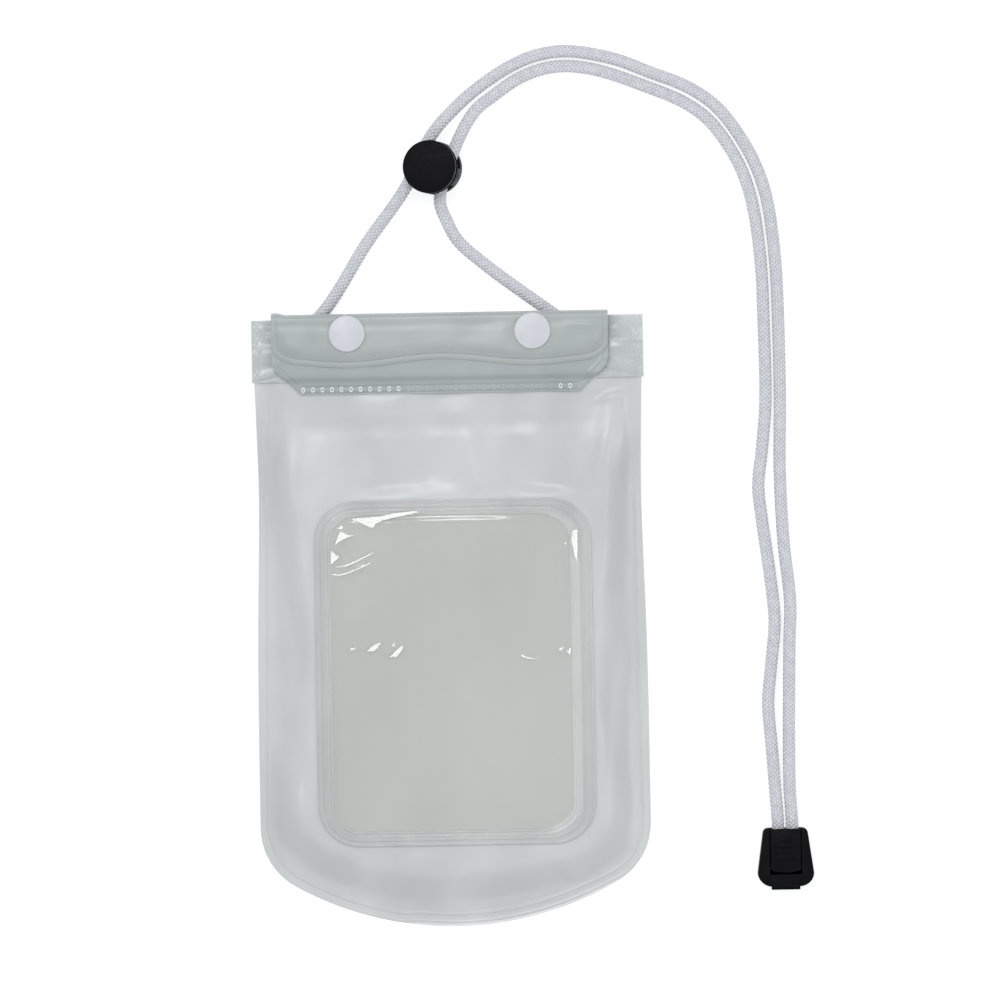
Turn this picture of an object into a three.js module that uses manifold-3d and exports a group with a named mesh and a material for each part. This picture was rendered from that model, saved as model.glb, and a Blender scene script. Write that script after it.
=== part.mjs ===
// A waterproof phone pouch lying on its back: two frosted sheets with clear windows, a press-seal
// mouth, a fold-over flap with two snaps, and a neck cord with a spring lock and a lidded end clip.
// Millimetres. X runs across the pouch, Y towards its mouth, Z up from the table.
// The origin is under the middle of the pouch, on the table.

import * as THREE from 'three';
import Module from 'manifold-3d';
import { mergeVertices } from 'three/addons/utils/BufferGeometryUtils.js';

// Driving dimensions of the pouch

const film = 0.4;               // thickness of every sheet
const weldGap = 0.3;            // running gap between sheets that are welded face to face
const bottomY = -90.6;          // lowest point of the rounded bottom edge
const bottomRadius = 96;        // large arc of the bottom edge
const cornerRadius = 20;        // small arcs at the two bottom corners
const halfWidth = 57.5;         // half of the pouch's width at its bottom corners
const waist = 1.2;              // how far the sides pull in beside the top of the window
const waistY = 40;              // where they pull in most
const weldWidth = 2.5;          // width of the perimeter weld
const puffReach = 14;           // distance over which the front sheet rises from its weld
const raise = 5.6;              // how high the mouth is held above the table by the cord tunnel
const raiseStart = 36.5;        // the back sheet leaves the table here
const raiseEnd = 56.5;          // and is level again from here
const stripRunOut = 1;          // the sheets are level from this far below the strips
const overcut = 1;              // cutting shapes run this far past the work

// Windows

const windowX = 0.6;            // centre of the windows
const windowY = -15.8;
const windowWidth = 81.5;       // outside of the welded rim
const windowHeight = 101.5;
const windowCorner = 12;
const windowRim = 4;            // width of the welded rim
const rimBead = 0.35;           // height of the rim's raised bead above the film
const beadWidth = 1.4;

// Press-seal strips

const zipBottomY = 70.3;
const zipTopY = 88.6;
const zipWidth = 2 * halfWidth;
const zipBase = 0.7;            // thickness of each strip's base
const zipDepth = 2.0;           // space between the two bases
const zipRidge = 0.2;           // height of the lines on the outside of the front strip
const trackYs = [75.8, 80.8];   // where the ribs snap into their grooves
const gripYs = [84.6, 86.4];    // fine grip lines above the tracks
const gripLine = 0.5;           // width of such a line
const ribStem = 0.7;
const ribHead = 1.7;
const headHeight = 0.5;
const zipClear = 0.3;           // clearance round a rib in its groove
const lipWall = 0.7;
const panelOverlap = 3;         // how far the sheets reach in between the strips

// Flap and tab

const flapX = -2.2;             // the flap, tab and tunnel sit a little to the left
const flapWidth = 98.8;
const weldLength = 81.8;        // length of the weld that holds each of them
const foldDepth = 2.0;          // how far the fold stands beyond the zip
const flapClear = 0.3;          // clearance between the flap and the strips
const lobeY = 75.4;             // mean height of the scalloped edge
const lobeDepth = 1.1;
const flapCorner = { across: 9.4, along: 5.6 };
const landTop = 69.0;           // top of the weld lands of the flap and the tab
const tabLand = 2.6;
const flapLand = 1.6;
const flapRise = 1.0;           // distance over which the flap's back leaves its land
const foldCorner = 1;
const tabTopY = 88.4;
const tabCorner = 3;
const tabCornerY = 75.6;        // the tab and the back of the flap taper below this height
const shoulder = [[3, -3], [0.6, -0.8], [0, 2]];  // points of the taper's shoulder: inset, height
const tabRise = 2.5;            // distance over which the tab climbs over the strip

// Snaps

const snapSpacing = 54.4;
const snapY = 84.2;
const capRadius = 5.35;
const capEdge = 0.7;            // thickness of a cap at its rim
const capDome = 0.5;            // extra height of the dome
const socketRadius = 4.4;
const socketHeight = 1.6;
const socketWeb = 0.5;
const studRadius = 4.0;
const studBase = 0.6;
const knobRadius = 2.3;
const knobHeight = 1.1;
const backingRadius = 4.1;
const backingHeight = 0.8;
const pinRadius = 1.2;
const pinClear = 0.2;
const snapClear = 0.3;
const edgeBreak = 0.3;          // small edges on the moulded pieces
const socketBreak = 0.5;

// Neck cord and its tunnel

const cordDiameter = 3.8;
const cordSides = 8;
const cordSteps = 120;
const cordClear = 0.7;          // the tunnel is looser than the cord
const tunnelY = 63.3;
const tunnelLowerLand = 3.5;
const tunnelUpperLand = 1.2;

// Cord lock

const lockX = -2.4;
const lockY = 132.7;
const lockRadius = 7.8;
const lockTilt = 8.3;           // degrees, the button leans to the left
const lockHoleTurn = 66;        // degrees from X to the direction of the cross holes
const barrelHeight = 9.6;
const barrelFloor = 1.4;
const barrelWall = 1.3;
const holeOffset = 4.6;         // each cord passes this far to the side of the axis
const holeWidth = 5.4;
const holeHeight = 4.6;
const holeZ = 6.5;              // middle of the holes above the base
const buttonTravel = 2.0;
const buttonStop = 0.2;         // left between the button and the barrel at full travel
const buttonHeight = 2.6;
const buttonDome = 0.5;
const buttonEdge = 0.5;         // width of the flat rim round the dome
const plungerClear = 0.3;
const springRadius = 0.9;       // to the middle of the wire
const springWire = 0.45;
const springTurns = 4;
const springClear = 0.3;        // at each end of the spring
const webHalf = 2.0;            // half width of the plunger's web between the cords

// Cord-end clip

const clipX = 96.9;
const clipTopY = -63.2;
const clipLength = 17.2;
const clipTopHalf = 6.6;
const clipWideHalf = 8.25;
const clipWideAt = 13.2;        // distance from the top end to the widest place
const clipCorner = 4.4;
const clipTopRound = [1.5, 1.5];  // rounding of each top corner: across, along
const clipHeight = 6.6;
const clipFloor = 1.0;
const pocketWidth = 8.6;
const lidWidth = 8.8;
const lidClear = 0.3;
const lidThick = 1.6;
const lidGap = 0.3;             // between the cords and the lid
const lidInset = 0.2;           // the lid's free end lies this far inside the tray's
const lidTail = 0.5;            // the lid reaches this far behind its knuckle
const lidTailRound = 1.0;
const clipCordLift = 0.3;       // the cords lie this far above the tray's floor
const hingeFromTop = 11.4;
const hingeRadius = 1.1;
const hingePin = 0.6;
const hingePinLength = 0.9;
const hingePinClear = 0.15;
const hingeLift = 0.2;          // the hinge line lies this far above the lid's underside
const nubWidth = 8.4;
const nubLength = 1.0;
const nubHeight = 4.0;
const markFirst = 3.4;          // from the clip's top end to the first grip mark
const markPitch = 1.7;
const markWidth = 1.0;
const markReaches = [1.9, 2.6, 2.6, 1.9];
const markHeight = 0.25;

// Colours

const frosted = new THREE.MeshStandardMaterial({ color: 0xd3d8da, roughness: 0.45, metalness: 0 });
const clear = new THREE.MeshStandardMaterial({ color: 0xcfd3d2, roughness: 0.12, metalness: 0 });
const zipPlastic = new THREE.MeshStandardMaterial({ color: 0xdadfe1, roughness: 0.35, metalness: 0 });
const snapPlastic = new THREE.MeshStandardMaterial({ color: 0xe4e4ea, roughness: 0.3, metalness: 0 });
const braid = new THREE.MeshStandardMaterial({ color: 0xd9dade, roughness: 0.85, metalness: 0 });
const blackPlastic = new THREE.MeshStandardMaterial({ color: 0x26262a, roughness: 0.55, metalness: 0 });
const springSteel = new THREE.MeshStandardMaterial({ color: 0xb4b6b8, roughness: 0.3, metalness: 1 });

// Levels that follow from the stack of sheets

const weldBottom = film + weldGap;          // underside of the front sheet at its weld
const zipBackZ = raise - zipBase;           // underside of the back strip
const zipFrontZ = raise + zipDepth;         // underside of the front strip's base
const zipTopZ = zipFrontZ + zipBase;
const level = zipFrontZ - film;             // underside of the front sheet where the pouch is full
const backingZ = zipTopZ + zipRidge + snapClear;
const tabZ = backingZ + backingHeight;
const studZ = tabZ + film;
const knobTopZ = studZ + studBase + knobHeight;
const socketZ = studZ + studBase + snapClear;
const flapFrontZ = socketZ + socketHeight;
const capZ = flapFrontZ + film;
const flapBackZ = zipBackZ - flapClear - film;
const panelTopY = zipBottomY + panelOverlap;

const wasm = await Module();
wasm.setup();

// Geometry helpers

function smooth(t) {
  const u = Math.min(1, Math.max(0, t));
  return u * u * (3 - 2 * u);
}

function toSolid(geometry) {
  const bare = geometry.clone();
  bare.deleteAttribute('normal');
  bare.deleteAttribute('uv');
  const merged = mergeVertices(bare, 1e-5);
  return new wasm.Manifold(new wasm.Mesh({
    numProp: 3,
    vertProperties: new Float32Array(merged.attributes.position.array),
    triVerts: new Uint32Array(merged.index.array),
  }));
}

function toGeometry(solid) {
  const mesh = solid.getMesh();
  const geometry = new THREE.BufferGeometry();
  geometry.setAttribute('position', new THREE.BufferAttribute(new Float32Array(mesh.vertProperties), 3));
  geometry.setIndex(new THREE.BufferAttribute(new Uint32Array(mesh.triVerts), 1));
  const flat = geometry.toNonIndexed();
  flat.computeVertexNormals();
  return flat;
}

function shapeOf(points) {
  return new THREE.Shape(points.map(([x, y]) => new THREE.Vector2(x, y)));
}

// A plate with the outline in X and Y, from z0 to z1.
function plate(shape, z0, z1) {
  const depth = z1 - z0;
  return new THREE.ExtrudeGeometry(shape, { depth, bevelEnabled: false }).translate(0, 0, z0);
}

// A bar with its section in Y and Z, from x0 to x1.
function bar(points, x0, x1) {
  const geometry = new THREE.ExtrudeGeometry(shapeOf(points), { depth: x1 - x0, bevelEnabled: false });
  const turn = new THREE.Matrix4().makeBasis(
    new THREE.Vector3(0, 1, 0), new THREE.Vector3(0, 0, 1), new THREE.Vector3(1, 0, 0));
  return geometry.applyMatrix4(turn).translate(x0, 0, 0);
}

function block(x0, x1, y0, y1, z0, z1) {
  return new THREE.BoxGeometry(x1 - x0, y1 - y0, z1 - z0)
    .translate((x0 + x1) / 2, (y0 + y1) / 2, (z0 + z1) / 2);
}

// A turned piece about Z: the profile is a list of [radius, z] from the axis round to the axis.
function turned(profile, segments = 20) {
  return new THREE.LatheGeometry(profile.map(([r, z]) => new THREE.Vector2(r, z)), segments)
    .rotateX(Math.PI / 2);
}

function disc(radius, z0, z1, segments = 20) {
  return new THREE.CylinderGeometry(radius, radius, z1 - z0, segments)
    .rotateX(Math.PI / 2).translate(0, 0, (z0 + z1) / 2);
}

function arc(cx, cy, radius, from, to, count) {
  const points = [];
  for (let i = 0; i <= count; i += 1) {
    const angle = from + (to - from) * i / count;
    points.push([cx + radius * Math.cos(angle), cy + radius * Math.sin(angle)]);
  }
  return points;
}

function ellipseArc(cx, cy, across, along, from, to, count) {
  return arc(0, 0, 1, from, to, count).map(([x, y]) => [cx + across * x, cy + along * y]);
}

function mesh(name, geometry, material) {
  const piece = new THREE.Mesh(geometry, material);
  piece.name = name;
  return piece;
}

// Outlines of the sheets and windows, as closed lists of points seen from their middle

function sideX(y) {
  const fromWaist = (y - waistY) / (waistY - bottomY);
  return halfWidth - waist * Math.exp(-12 * fromWaist * fromWaist);
}

function pouchOutline() {
  const arcCentreY = bottomY + bottomRadius;
  const cornerX = halfWidth - cornerRadius;
  const cornerY = arcCentreY - Math.sqrt((bottomRadius - cornerRadius) ** 2 - cornerX ** 2);
  const meet = Math.atan2(cornerY - arcCentreY, cornerX);
  const right = [
    ...arc(0, arcCentreY, bottomRadius, -Math.PI / 2, meet, 10),
    ...arc(cornerX, cornerY, cornerRadius, meet, 0, 5).slice(1),
  ];
  const sideSteps = 12;
  for (let i = 1; i <= sideSteps; i += 1) {
    const y = cornerY + (panelTopY - cornerY) * i / sideSteps;
    right.push([sideX(y), y]);
  }
  const left = right.slice(1).reverse().map(([x, y]) => [-x, y]);
  return [...right, ...left];
}

function roundedRectangle(cx, cy, width, height, radius, steps = 6) {
  const x = width / 2 - radius;
  const y = height / 2 - radius;
  const quarter = Math.PI / 2;
  return [
    ...arc(cx + x, cy - y, radius, -quarter, 0, steps),
    ...arc(cx + x, cy + y, radius, 0, quarter, steps),
    ...arc(cx - x, cy + y, radius, quarter, 2 * quarter, steps),
    ...arc(cx - x, cy - y, radius, 2 * quarter, 3 * quarter, steps),
  ];
}

// Where a ray from the window's middle leaves a closed outline.
function reachAlong(outline, angle) {
  const dx = Math.cos(angle);
  const dy = Math.sin(angle);
  let reach = 0;
  outline.forEach(([ax, ay], i) => {
    const [bx, by] = outline[(i + 1) % outline.length];
    const ex = bx - ax;
    const ey = by - ay;
    const across = dx * ey - dy * ex;
    if (Math.abs(across) < 1e-9) {
      return;
    }
    const px = ax - windowX;
    const py = ay - windowY;
    const distance = (px * ey - py * ex) / across;
    const along = (px * dy - py * dx) / across;
    if (distance > 0 && along >= -1e-9 && along <= 1 + 1e-9) {
      reach = Math.max(reach, distance);
    }
  });
  return reach;
}

const sheetOutline = pouchOutline();
const rimOutline = roundedRectangle(windowX, windowY, windowWidth, windowHeight, windowCorner);
const glassOutline = roundedRectangle(windowX, windowY, windowWidth - 2 * windowRim,
  windowHeight - 2 * windowRim, windowCorner - windowRim);

// The rays pass through the sheet's top corners and the ends of its raised stretch.
function rayAngles() {
  const angleOf = (x, y) => Math.atan2(y - windowY, x - windowX);
  const keys = [panelTopY, zipBottomY - stripRunOut, raiseEnd, raiseStart]
    .flatMap((y) => [angleOf(sideX(y), y), angleOf(-sideX(y), y)]);
  const count = 66;
  const step = 2 * Math.PI / count;
  const even = Array.from({ length: count }, (_, i) => -Math.PI + step * i)
    .filter((angle) => keys.every((key) => Math.abs(key - angle) > step / 3));
  return [...keys, ...even].sort((a, b) => a - b);
}

const rays = rayAngles();

// One ring of points, each at a share of the way from the window's rim to the edge of the sheet.
function ring(share, inset = 0) {
  return rays.map((angle) => {
    const rim = reachAlong(rimOutline, angle);
    const edge = reachAlong(sheetOutline, angle) - inset;
    const reach = rim + (edge - rim) * share;
    return [windowX + reach * Math.cos(angle), windowY + reach * Math.sin(angle)];
  });
}

function windowRing(outline) {
  return rays.map((angle) => {
    const reach = reachAlong(outline, angle);
    return [windowX + reach * Math.cos(angle), windowY + reach * Math.sin(angle)];
  });
}

// A closed band of film: rings from the outside in, each with an underside and a top for its points.
function ringBand(rings, under, top) {
  const count = rays.length;
  const positions = [];
  rings.forEach((points, r) => points.forEach(([x, y]) => positions.push(x, y, under(x, y, r))));
  rings.forEach((points, r) => points.forEach(([x, y]) => positions.push(x, y, top(x, y, r))));
  const offset = rings.length * count;
  const faces = [];
  const quad = (a, b, c, d) => faces.push(a, b, c, a, c, d);
  for (let i = 0; i < count; i += 1) {
    const j = (i + 1) % count;
    for (let r = 0; r + 1 < rings.length; r += 1) {
      const outer = r * count;
      const inner = (r + 1) * count;
      quad(offset + outer + i, offset + outer + j, offset + inner + j, offset + inner + i);
      quad(outer + i, inner + i, inner + j, outer + j);
    }
    const last = (rings.length - 1) * count;
    quad(i, j, offset + j, offset + i);
    quad(last + i, offset + last + i, offset + last + j, last + j);
  }
  const geometry = new THREE.BufferGeometry();
  geometry.setAttribute('position', new THREE.Float32BufferAttribute(positions, 3));
  geometry.setIndex(faces);
  return geometry;
}

// A closed sheet of film without a hole: its rings end in a middle point.
function ringSheet(rings, under, top) {
  const band = ringBand(rings, under, top);
  const count = rays.length;
  const positions = Array.from(band.attributes.position.array);
  const faces = Array.from(band.index.array);
  const last = (rings.length - 1) * count;
  const offset = rings.length * count;
  const lowCentre = positions.length / 3;
  positions.push(windowX, windowY, under(windowX, windowY, rings.length));
  positions.push(windowX, windowY, top(windowX, windowY, rings.length));
  const kept = [];
  for (let f = 0; f < faces.length; f += 3) {
    const corner = faces.slice(f, f + 3);
    const wall = corner.every((v) => (v % offset) >= last) && corner.some((v) => v < offset)
      && corner.some((v) => v >= offset);
    if (!wall) {
      kept.push(...corner);
    }
  }
  for (let i = 0; i < count; i += 1) {
    const j = (i + 1) % count;
    kept.push(last + i, lowCentre, last + j);
    kept.push(offset + last + i, offset + last + j, lowCentre + 1);
  }
  const geometry = new THREE.BufferGeometry();
  geometry.setAttribute('position', new THREE.Float32BufferAttribute(positions, 3));
  geometry.setIndex(kept);
  return geometry;
}

// Sheets

function backLift(y) {
  return raise * smooth((y - raiseStart) / (raiseEnd - raiseStart));
}

// Underside of the front sheet: low along the perimeter weld, full in the middle and at the mouth.
function frontUnder(x, y, distance) {
  const mouth = smooth((y - raiseStart) / (zipBottomY - raiseStart));
  const low = backLift(y) + weldBottom;
  const border = low + (level - low) * mouth * mouth * mouth;
  return border + (level - border) * smooth(distance / puffReach);
}

function edgeDistance(x, y) {
  const angle = Math.atan2(y - windowY, x - windowX);
  return reachAlong(sheetOutline, angle) - Math.hypot(x - windowX, y - windowY) - weldWidth;
}

function frontPanel() {
  const rings = [ring(1), ring(1, weldWidth), ring(0.8, weldWidth), ring(0.6, weldWidth),
    ring(0.38, weldWidth), ring(0.14, weldWidth), ring(0), windowRing(glassOutline)];
  const flatFrom = rings.length - 3;
  const under = (x, y, r) => {
    const inward = r >= flatFrom ? puffReach : edgeDistance(x, y);
    return frontUnder(x, y, inward);
  };
  return mesh('front_panel', ringBand(rings, under, (x, y, r) => under(x, y, r) + film), frosted);
}

function backPanel() {
  const rings = [ring(1), ring(0.82), ring(0.64), ring(0.46), ring(0.28), ring(0.1), ring(0),
    windowRing(glassOutline)];
  const under = (x, y) => backLift(y);
  return mesh('back_panel', ringBand(rings, under, (x, y) => under(x, y) + film), frosted);
}

// The clear films lie on the sheets' inner edges; a raised bead runs round the welded rim.
function windowFilm(name, z) {
  const beadOut = (windowRim + beadWidth) / 2;
  const beadIn = (windowRim - beadWidth) / 2;
  const inset = (amount) => windowRing(roundedRectangle(windowX, windowY, windowWidth - 2 * amount,
    windowHeight - 2 * amount, windowCorner - amount));
  const rings = [inset(0), inset(windowRim - beadOut), inset(windowRim / 2), inset(windowRim - beadIn)];
  const beadRing = 2;
  const top = (x, y, r) => z + film + (r === beadRing ? rimBead : 0);
  return mesh(name, ringSheet(rings, () => z, top), clear);
}

// Press-seal strips, extruded along X

const zipX0 = -zipWidth / 2;
const zipX1 = zipWidth / 2;

function zipFront() {
  const points = [[zipBottomY, zipFrontZ]];
  trackYs.forEach((y) => {
    const headTop = raise + zipClear + headHeight;
    const headLow = raise + zipClear;
    points.push([y - ribStem / 2, zipFrontZ], [y - ribStem / 2, headTop], [y - ribHead / 2, headTop],
      [y - ribStem / 2, headLow], [y + ribStem / 2, headLow], [y + ribHead / 2, headTop],
      [y + ribStem / 2, headTop], [y + ribStem / 2, zipFrontZ]);
  });
  points.push([zipTopY, zipFrontZ], [zipTopY, zipTopZ]);
  [...gripYs].reverse().forEach((y) => {
    points.push([y + gripLine / 2, zipTopZ], [y, zipTopZ + zipRidge], [y - gripLine / 2, zipTopZ]);
  });
  [...trackYs].reverse().forEach((y) => {
    points.push([y + ribHead / 2, zipTopZ], [y + ribStem / 2, zipTopZ + zipRidge],
      [y - ribStem / 2, zipTopZ + zipRidge], [y - ribHead / 2, zipTopZ]);
  });
  points.push([zipBottomY, zipTopZ]);
  return mesh('zip_strip_front', bar(points, zipX0, zipX1), zipPlastic);
}

function zipBack() {
  const hookTop = zipFrontZ - zipClear;
  const hookLow = raise + 2 * zipClear + headHeight;
  const grooveHalf = ribHead / 2 + zipClear;
  const mouthHalf = ribStem / 2 + zipClear;
  const wallHalf = grooveHalf + lipWall;
  const points = [[zipBottomY, zipBackZ], [zipTopY, zipBackZ], [zipTopY, raise]];
  [...trackYs].reverse().forEach((y) => {
    points.push([y + wallHalf, raise], [y + wallHalf, hookTop], [y + mouthHalf, hookTop],
      [y + mouthHalf, hookLow], [y + grooveHalf, hookLow], [y + grooveHalf, raise],
      [y - grooveHalf, raise], [y - grooveHalf, hookLow], [y - mouthHalf, hookLow],
      [y - mouthHalf, hookTop], [y - wallHalf, hookTop], [y - wallHalf, raise]);
  });
  points.push([zipBottomY, raise]);
  return mesh('zip_strip_back', bar(points, zipX0, zipX1), zipPlastic);
}

// Flap and tab

const flapX0 = flapX - flapWidth / 2;
const flapX1 = flapX + flapWidth / 2;
const snapXs = { left: flapX - snapSpacing / 2, right: flapX + snapSpacing / 2 };

// The outline shared by the tab and by the back of the flap: straight sides that taper to the weld.
function taperedOutline(lowY, highY, corner) {
  const half = flapWidth / 2;
  const weldHalf = weldLength / 2;
  return shapeOf([
    [flapX - weldHalf, lowY], [flapX + weldHalf, lowY],
    ...shoulder.map(([inset, height]) => [flapX + half - inset, tabCornerY + height]),
    ...arc(flapX + half - corner, highY - corner, corner, 0, Math.PI / 2, 4),
    ...arc(flapX - half + corner, highY - corner, corner, Math.PI / 2, Math.PI, 4),
    ...[...shoulder].reverse().map(([inset, height]) => [flapX - half + inset, tabCornerY + height]),
  ]);
}

function scallopY(x) {
  const lobe = Math.cos(2 * Math.PI * (x - flapX) / snapSpacing);
  return lobeY + lobeDepth * lobe;
}

// The scalloped front edge, from the left side to the right, closed above the fold.
function scallopOutline(highY) {
  const half = flapWidth / 2;
  const straight = half - flapCorner.across;
  const cornerFoot = scallopY(flapX + straight);
  const points = ellipseArc(flapX - straight, cornerFoot + flapCorner.along, flapCorner.across,
    flapCorner.along, Math.PI, 1.5 * Math.PI, 5);
  const steps = 24;
  for (let i = 1; i < steps; i += 1) {
    const x = flapX - straight + 2 * straight * i / steps;
    points.push([x, scallopY(x)]);
  }
  points.push(...ellipseArc(flapX + straight, cornerFoot + flapCorner.along, flapCorner.across,
    flapCorner.along, 1.5 * Math.PI, 2 * Math.PI, 5));
  points.push([flapX + half, highY], [flapX - half, highY]);
  return shapeOf(points);
}

function closingFlap() {
  const midZ = (flapBackZ + capZ) / 2;
  const outerHalf = (capZ - flapBackZ) / 2;
  const fold = (depth, half) => ellipseArc(zipTopY, midZ, depth, half, -Math.PI / 2, Math.PI / 2, 12);
  const landZ = raise - weldGap - film;
  const landLow = landTop - flapLand;
  const frontEnd = lobeY - 2 * lobeDepth;
  const slopeTo = landTop + flapRise;
  const section = [
    [landLow, landZ], [landTop, landZ], [slopeTo, flapBackZ],
    ...fold(foldDepth, outerHalf),
    [frontEnd, capZ], [frontEnd, flapFrontZ],
    ...fold(foldDepth - film, outerHalf - film).reverse(),
    [slopeTo, flapBackZ + film], [landTop, landZ + film], [landLow, landZ + film],
  ];
  const highY = zipTopY + foldDepth + overcut;
  const frontKeep = toSolid(plate(scallopOutline(highY), midZ, capZ + overcut));
  const backOutline = taperedOutline(landLow, highY, foldCorner);
  const backKeep = toSolid(plate(backOutline, flapBackZ - overcut, midZ));
  const sheet = toSolid(bar(section, flapX0, flapX1));
  let flap = sheet.intersect(frontKeep.add(backKeep));
  Object.values(snapXs).forEach((x) => {
    const hole = disc(pinRadius + pinClear, flapFrontZ - overcut, capZ + overcut);
    flap = flap.subtract(toSolid(hole.translate(x, snapY, 0)));
  });
  return mesh('closing_flap', toGeometry(flap), frosted);
}

function frontTab() {
  const landZ = level + film + weldGap;
  const landLow = landTop - tabLand;
  const upTo = landTop + tabRise;
  const section = [
    [landLow, landZ], [landTop, landZ], [upTo, tabZ], [tabTopY, tabZ],
    [tabTopY, tabZ + film], [upTo - film / 2, tabZ + film], [landTop - film / 2, landZ + film],
    [landLow, landZ + film],
  ];
  const outline = taperedOutline(landLow, tabTopY, tabCorner);
  const keep = toSolid(plate(outline, landZ - overcut, tabZ + film + overcut));
  let tab = toSolid(bar(section, flapX0, flapX1)).intersect(keep);
  Object.values(snapXs).forEach((x) => {
    const hole = disc(pinRadius + pinClear, tabZ - overcut, tabZ + film + overcut);
    tab = tab.subtract(toSolid(hole.translate(x, snapY, 0)));
  });
  return mesh('front_tab', toGeometry(tab), frosted);
}

// Snaps: a cap and socket hold the flap, a stud and backing disc hold the tab.
function snapPieces(side) {
  const x = snapXs[side];
  const place = (name, geometry) => mesh(`${name}_${side}`, geometry.translate(x, snapY, 0), snapPlastic);
  const dome = 5;
  const capTop = [];
  for (let i = 0; i <= dome; i += 1) {
    const r = capRadius * (1 - i / dome);
    capTop.push([r, capZ + capEdge + capDome * (1 - (r / capRadius) ** 2)]);
  }
  const web = flapFrontZ - socketWeb;
  const cap = turned([[0, web], [pinRadius, web], [pinRadius, capZ], [capRadius - edgeBreak, capZ],
    [capRadius, capZ + edgeBreak], ...capTop]);
  const recess = knobRadius + snapClear;
  const bore = pinRadius + pinClear;
  const socket = turned([[bore, web], [recess, web], [recess, socketZ],
    [socketRadius - socketBreak, socketZ], [socketRadius, socketZ + socketBreak],
    [socketRadius, flapFrontZ], [bore, flapFrontZ], [bore, web]]);
  const stud = turned([[bore, studZ], [studRadius, studZ], [studRadius, studZ + studBase],
    [knobRadius - edgeBreak, studZ + studBase], [knobRadius, knobTopZ - edgeBreak],
    [knobRadius - edgeBreak, knobTopZ], [bore, knobTopZ], [bore, studZ]]);
  const pinTopZ = knobTopZ - snapClear;
  const backing = turned([[0, backingZ], [backingRadius - edgeBreak, backingZ],
    [backingRadius, backingZ + edgeBreak], [backingRadius, tabZ], [pinRadius, tabZ],
    [pinRadius, pinTopZ], [0, pinTopZ]]);
  return [place('snap_cap', cap), place('snap_socket', socket), place('snap_stud', stud),
    place('snap_backing', backing)];
}

// Cord tunnel: a strip with two weld lands and a channel that hangs down round the cord

function cordTunnel() {
  const inner = cordDiameter / 2 + cordClear;
  const outer = inner + film;
  const centreZ = outer;
  const landZ = raise - weldGap - film;
  const lowY = tunnelY - inner - tunnelLowerLand;
  const highY = tunnelY + inner + tunnelUpperLand;
  const section = [
    [lowY, landZ], [tunnelY - outer, landZ],
    ...arc(tunnelY, centreZ, outer, -Math.PI, 0, 10),
    [tunnelY + outer, landZ], [highY, landZ], [highY, landZ + film], [tunnelY + inner, landZ + film],
    ...arc(tunnelY, centreZ, inner, 0, -Math.PI, 10),
    [tunnelY - inner, landZ + film], [lowY, landZ + film],
  ];
  return mesh('cord_tunnel', bar(section, flapX - weldLength / 2, flapX + weldLength / 2), frosted);
}

// The neck cord's route, chosen by hand: out of the clip, round the arc, down through the lock,
// round into the tunnel, and back the same way to the clip.
const cordRoute = [
  [94.8, -73.2, 3.2], [94.8, -61.5, 3.2], [94.2, -52.0, 2.8], [93.4, -39.0, 2.3], [92.6, -26.5, 2.2],
  [93.7, -15.0, 2.1], [94.9, -2.5, 2.0], [93.8, 11.0, 2.0], [91.7, 27.5, 2.0], [90.8, 37.5, 2.0],
  [92.0, 48.0, 2.0], [93.3, 62.0, 2.0], [93.2, 85.0, 2.0], [92.6, 104.0, 2.0], [90.3, 121.6, 2.0],
  [87.0, 131.8, 2.0], [80.9, 142.1, 2.0], [76.0, 147.4, 2.0], [69.5, 151.6, 2.0], [59.3, 155.9, 2.0],
  [48.8, 159.8, 2.1], [42.0, 161.5, 2.2], [35.4, 162.1, 2.3], [28.9, 161.2, 2.7], [22.2, 158.6, 3.4],
  [15.2, 153.9, 4.7], [9.2, 149.0, 6.4], [3.5, 138.9, 8.6], [-1.4, 123.2, 7.8], [0.4, 117.2, 5.6],
  [3.6, 111.3, 3.9], [11.7, 104.0, 2.5], [31.0, 89.6, 2.0], [46.9, 78.1, 2.0], [49.0, 72.3, 2.0],
  [46.9, 66.5, 2.2], [41.6, 63.4, 2.6], [30.0, 63.3, 2.6], [-34.0, 63.3, 2.6], [-46.2, 63.4, 2.6],
  [-51.5, 66.5, 2.2], [-53.6, 72.3, 2.0], [-51.5, 78.1, 2.0], [-36.7, 90.6, 2.0], [-23.2, 111.0, 2.6],
  [-11.7, 126.6, 6.4], [-3.7, 142.0, 7.5], [2.9, 149.6, 6.0], [10.6, 156.3, 4.2], [20.1, 162.4, 2.9],
  [27.6, 165.4, 2.4], [36.5, 166.5, 2.2], [50.2, 164.1, 2.0], [60.8, 160.0, 2.0], [71.6, 155.6, 2.0],
  [79.1, 150.6, 2.0], [84.3, 144.8, 2.0], [90.9, 133.7, 2.0], [94.6, 122.7, 2.0], [96.9, 104.0, 2.0],
  [97.5, 85.0, 2.0], [97.6, 62.0, 2.0], [97.2, 43.0, 2.0], [97.9, 22.0, 2.0], [99.6, 3.0, 2.1],
  [99.2, -8.0, 2.1], [98.8, -24.0, 2.2], [98.5, -39.0, 2.3], [98.5, -52.0, 2.8], [98.95, -61.5, 3.2],
  [98.95, -73.2, 3.2],
];

function cordCurve() {
  const points = cordRoute.map(([x, y, z]) => new THREE.Vector3(x, y, z));
  return new THREE.CatmullRomCurve3(points, false, 'centripetal');
}

function neckCord() {
  const radius = cordDiameter / 2;
  const section = shapeOf(arc(0, 0, radius, 0, 2 * Math.PI, cordSides).slice(0, -1));
  const geometry = new THREE.ExtrudeGeometry(section, {
    steps: cordSteps, bevelEnabled: false, extrudePath: cordCurve(),
  });
  return mesh('neck_cord', geometry, braid);
}

// Cord lock, modelled upright about its own axis and then leaned over

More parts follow.
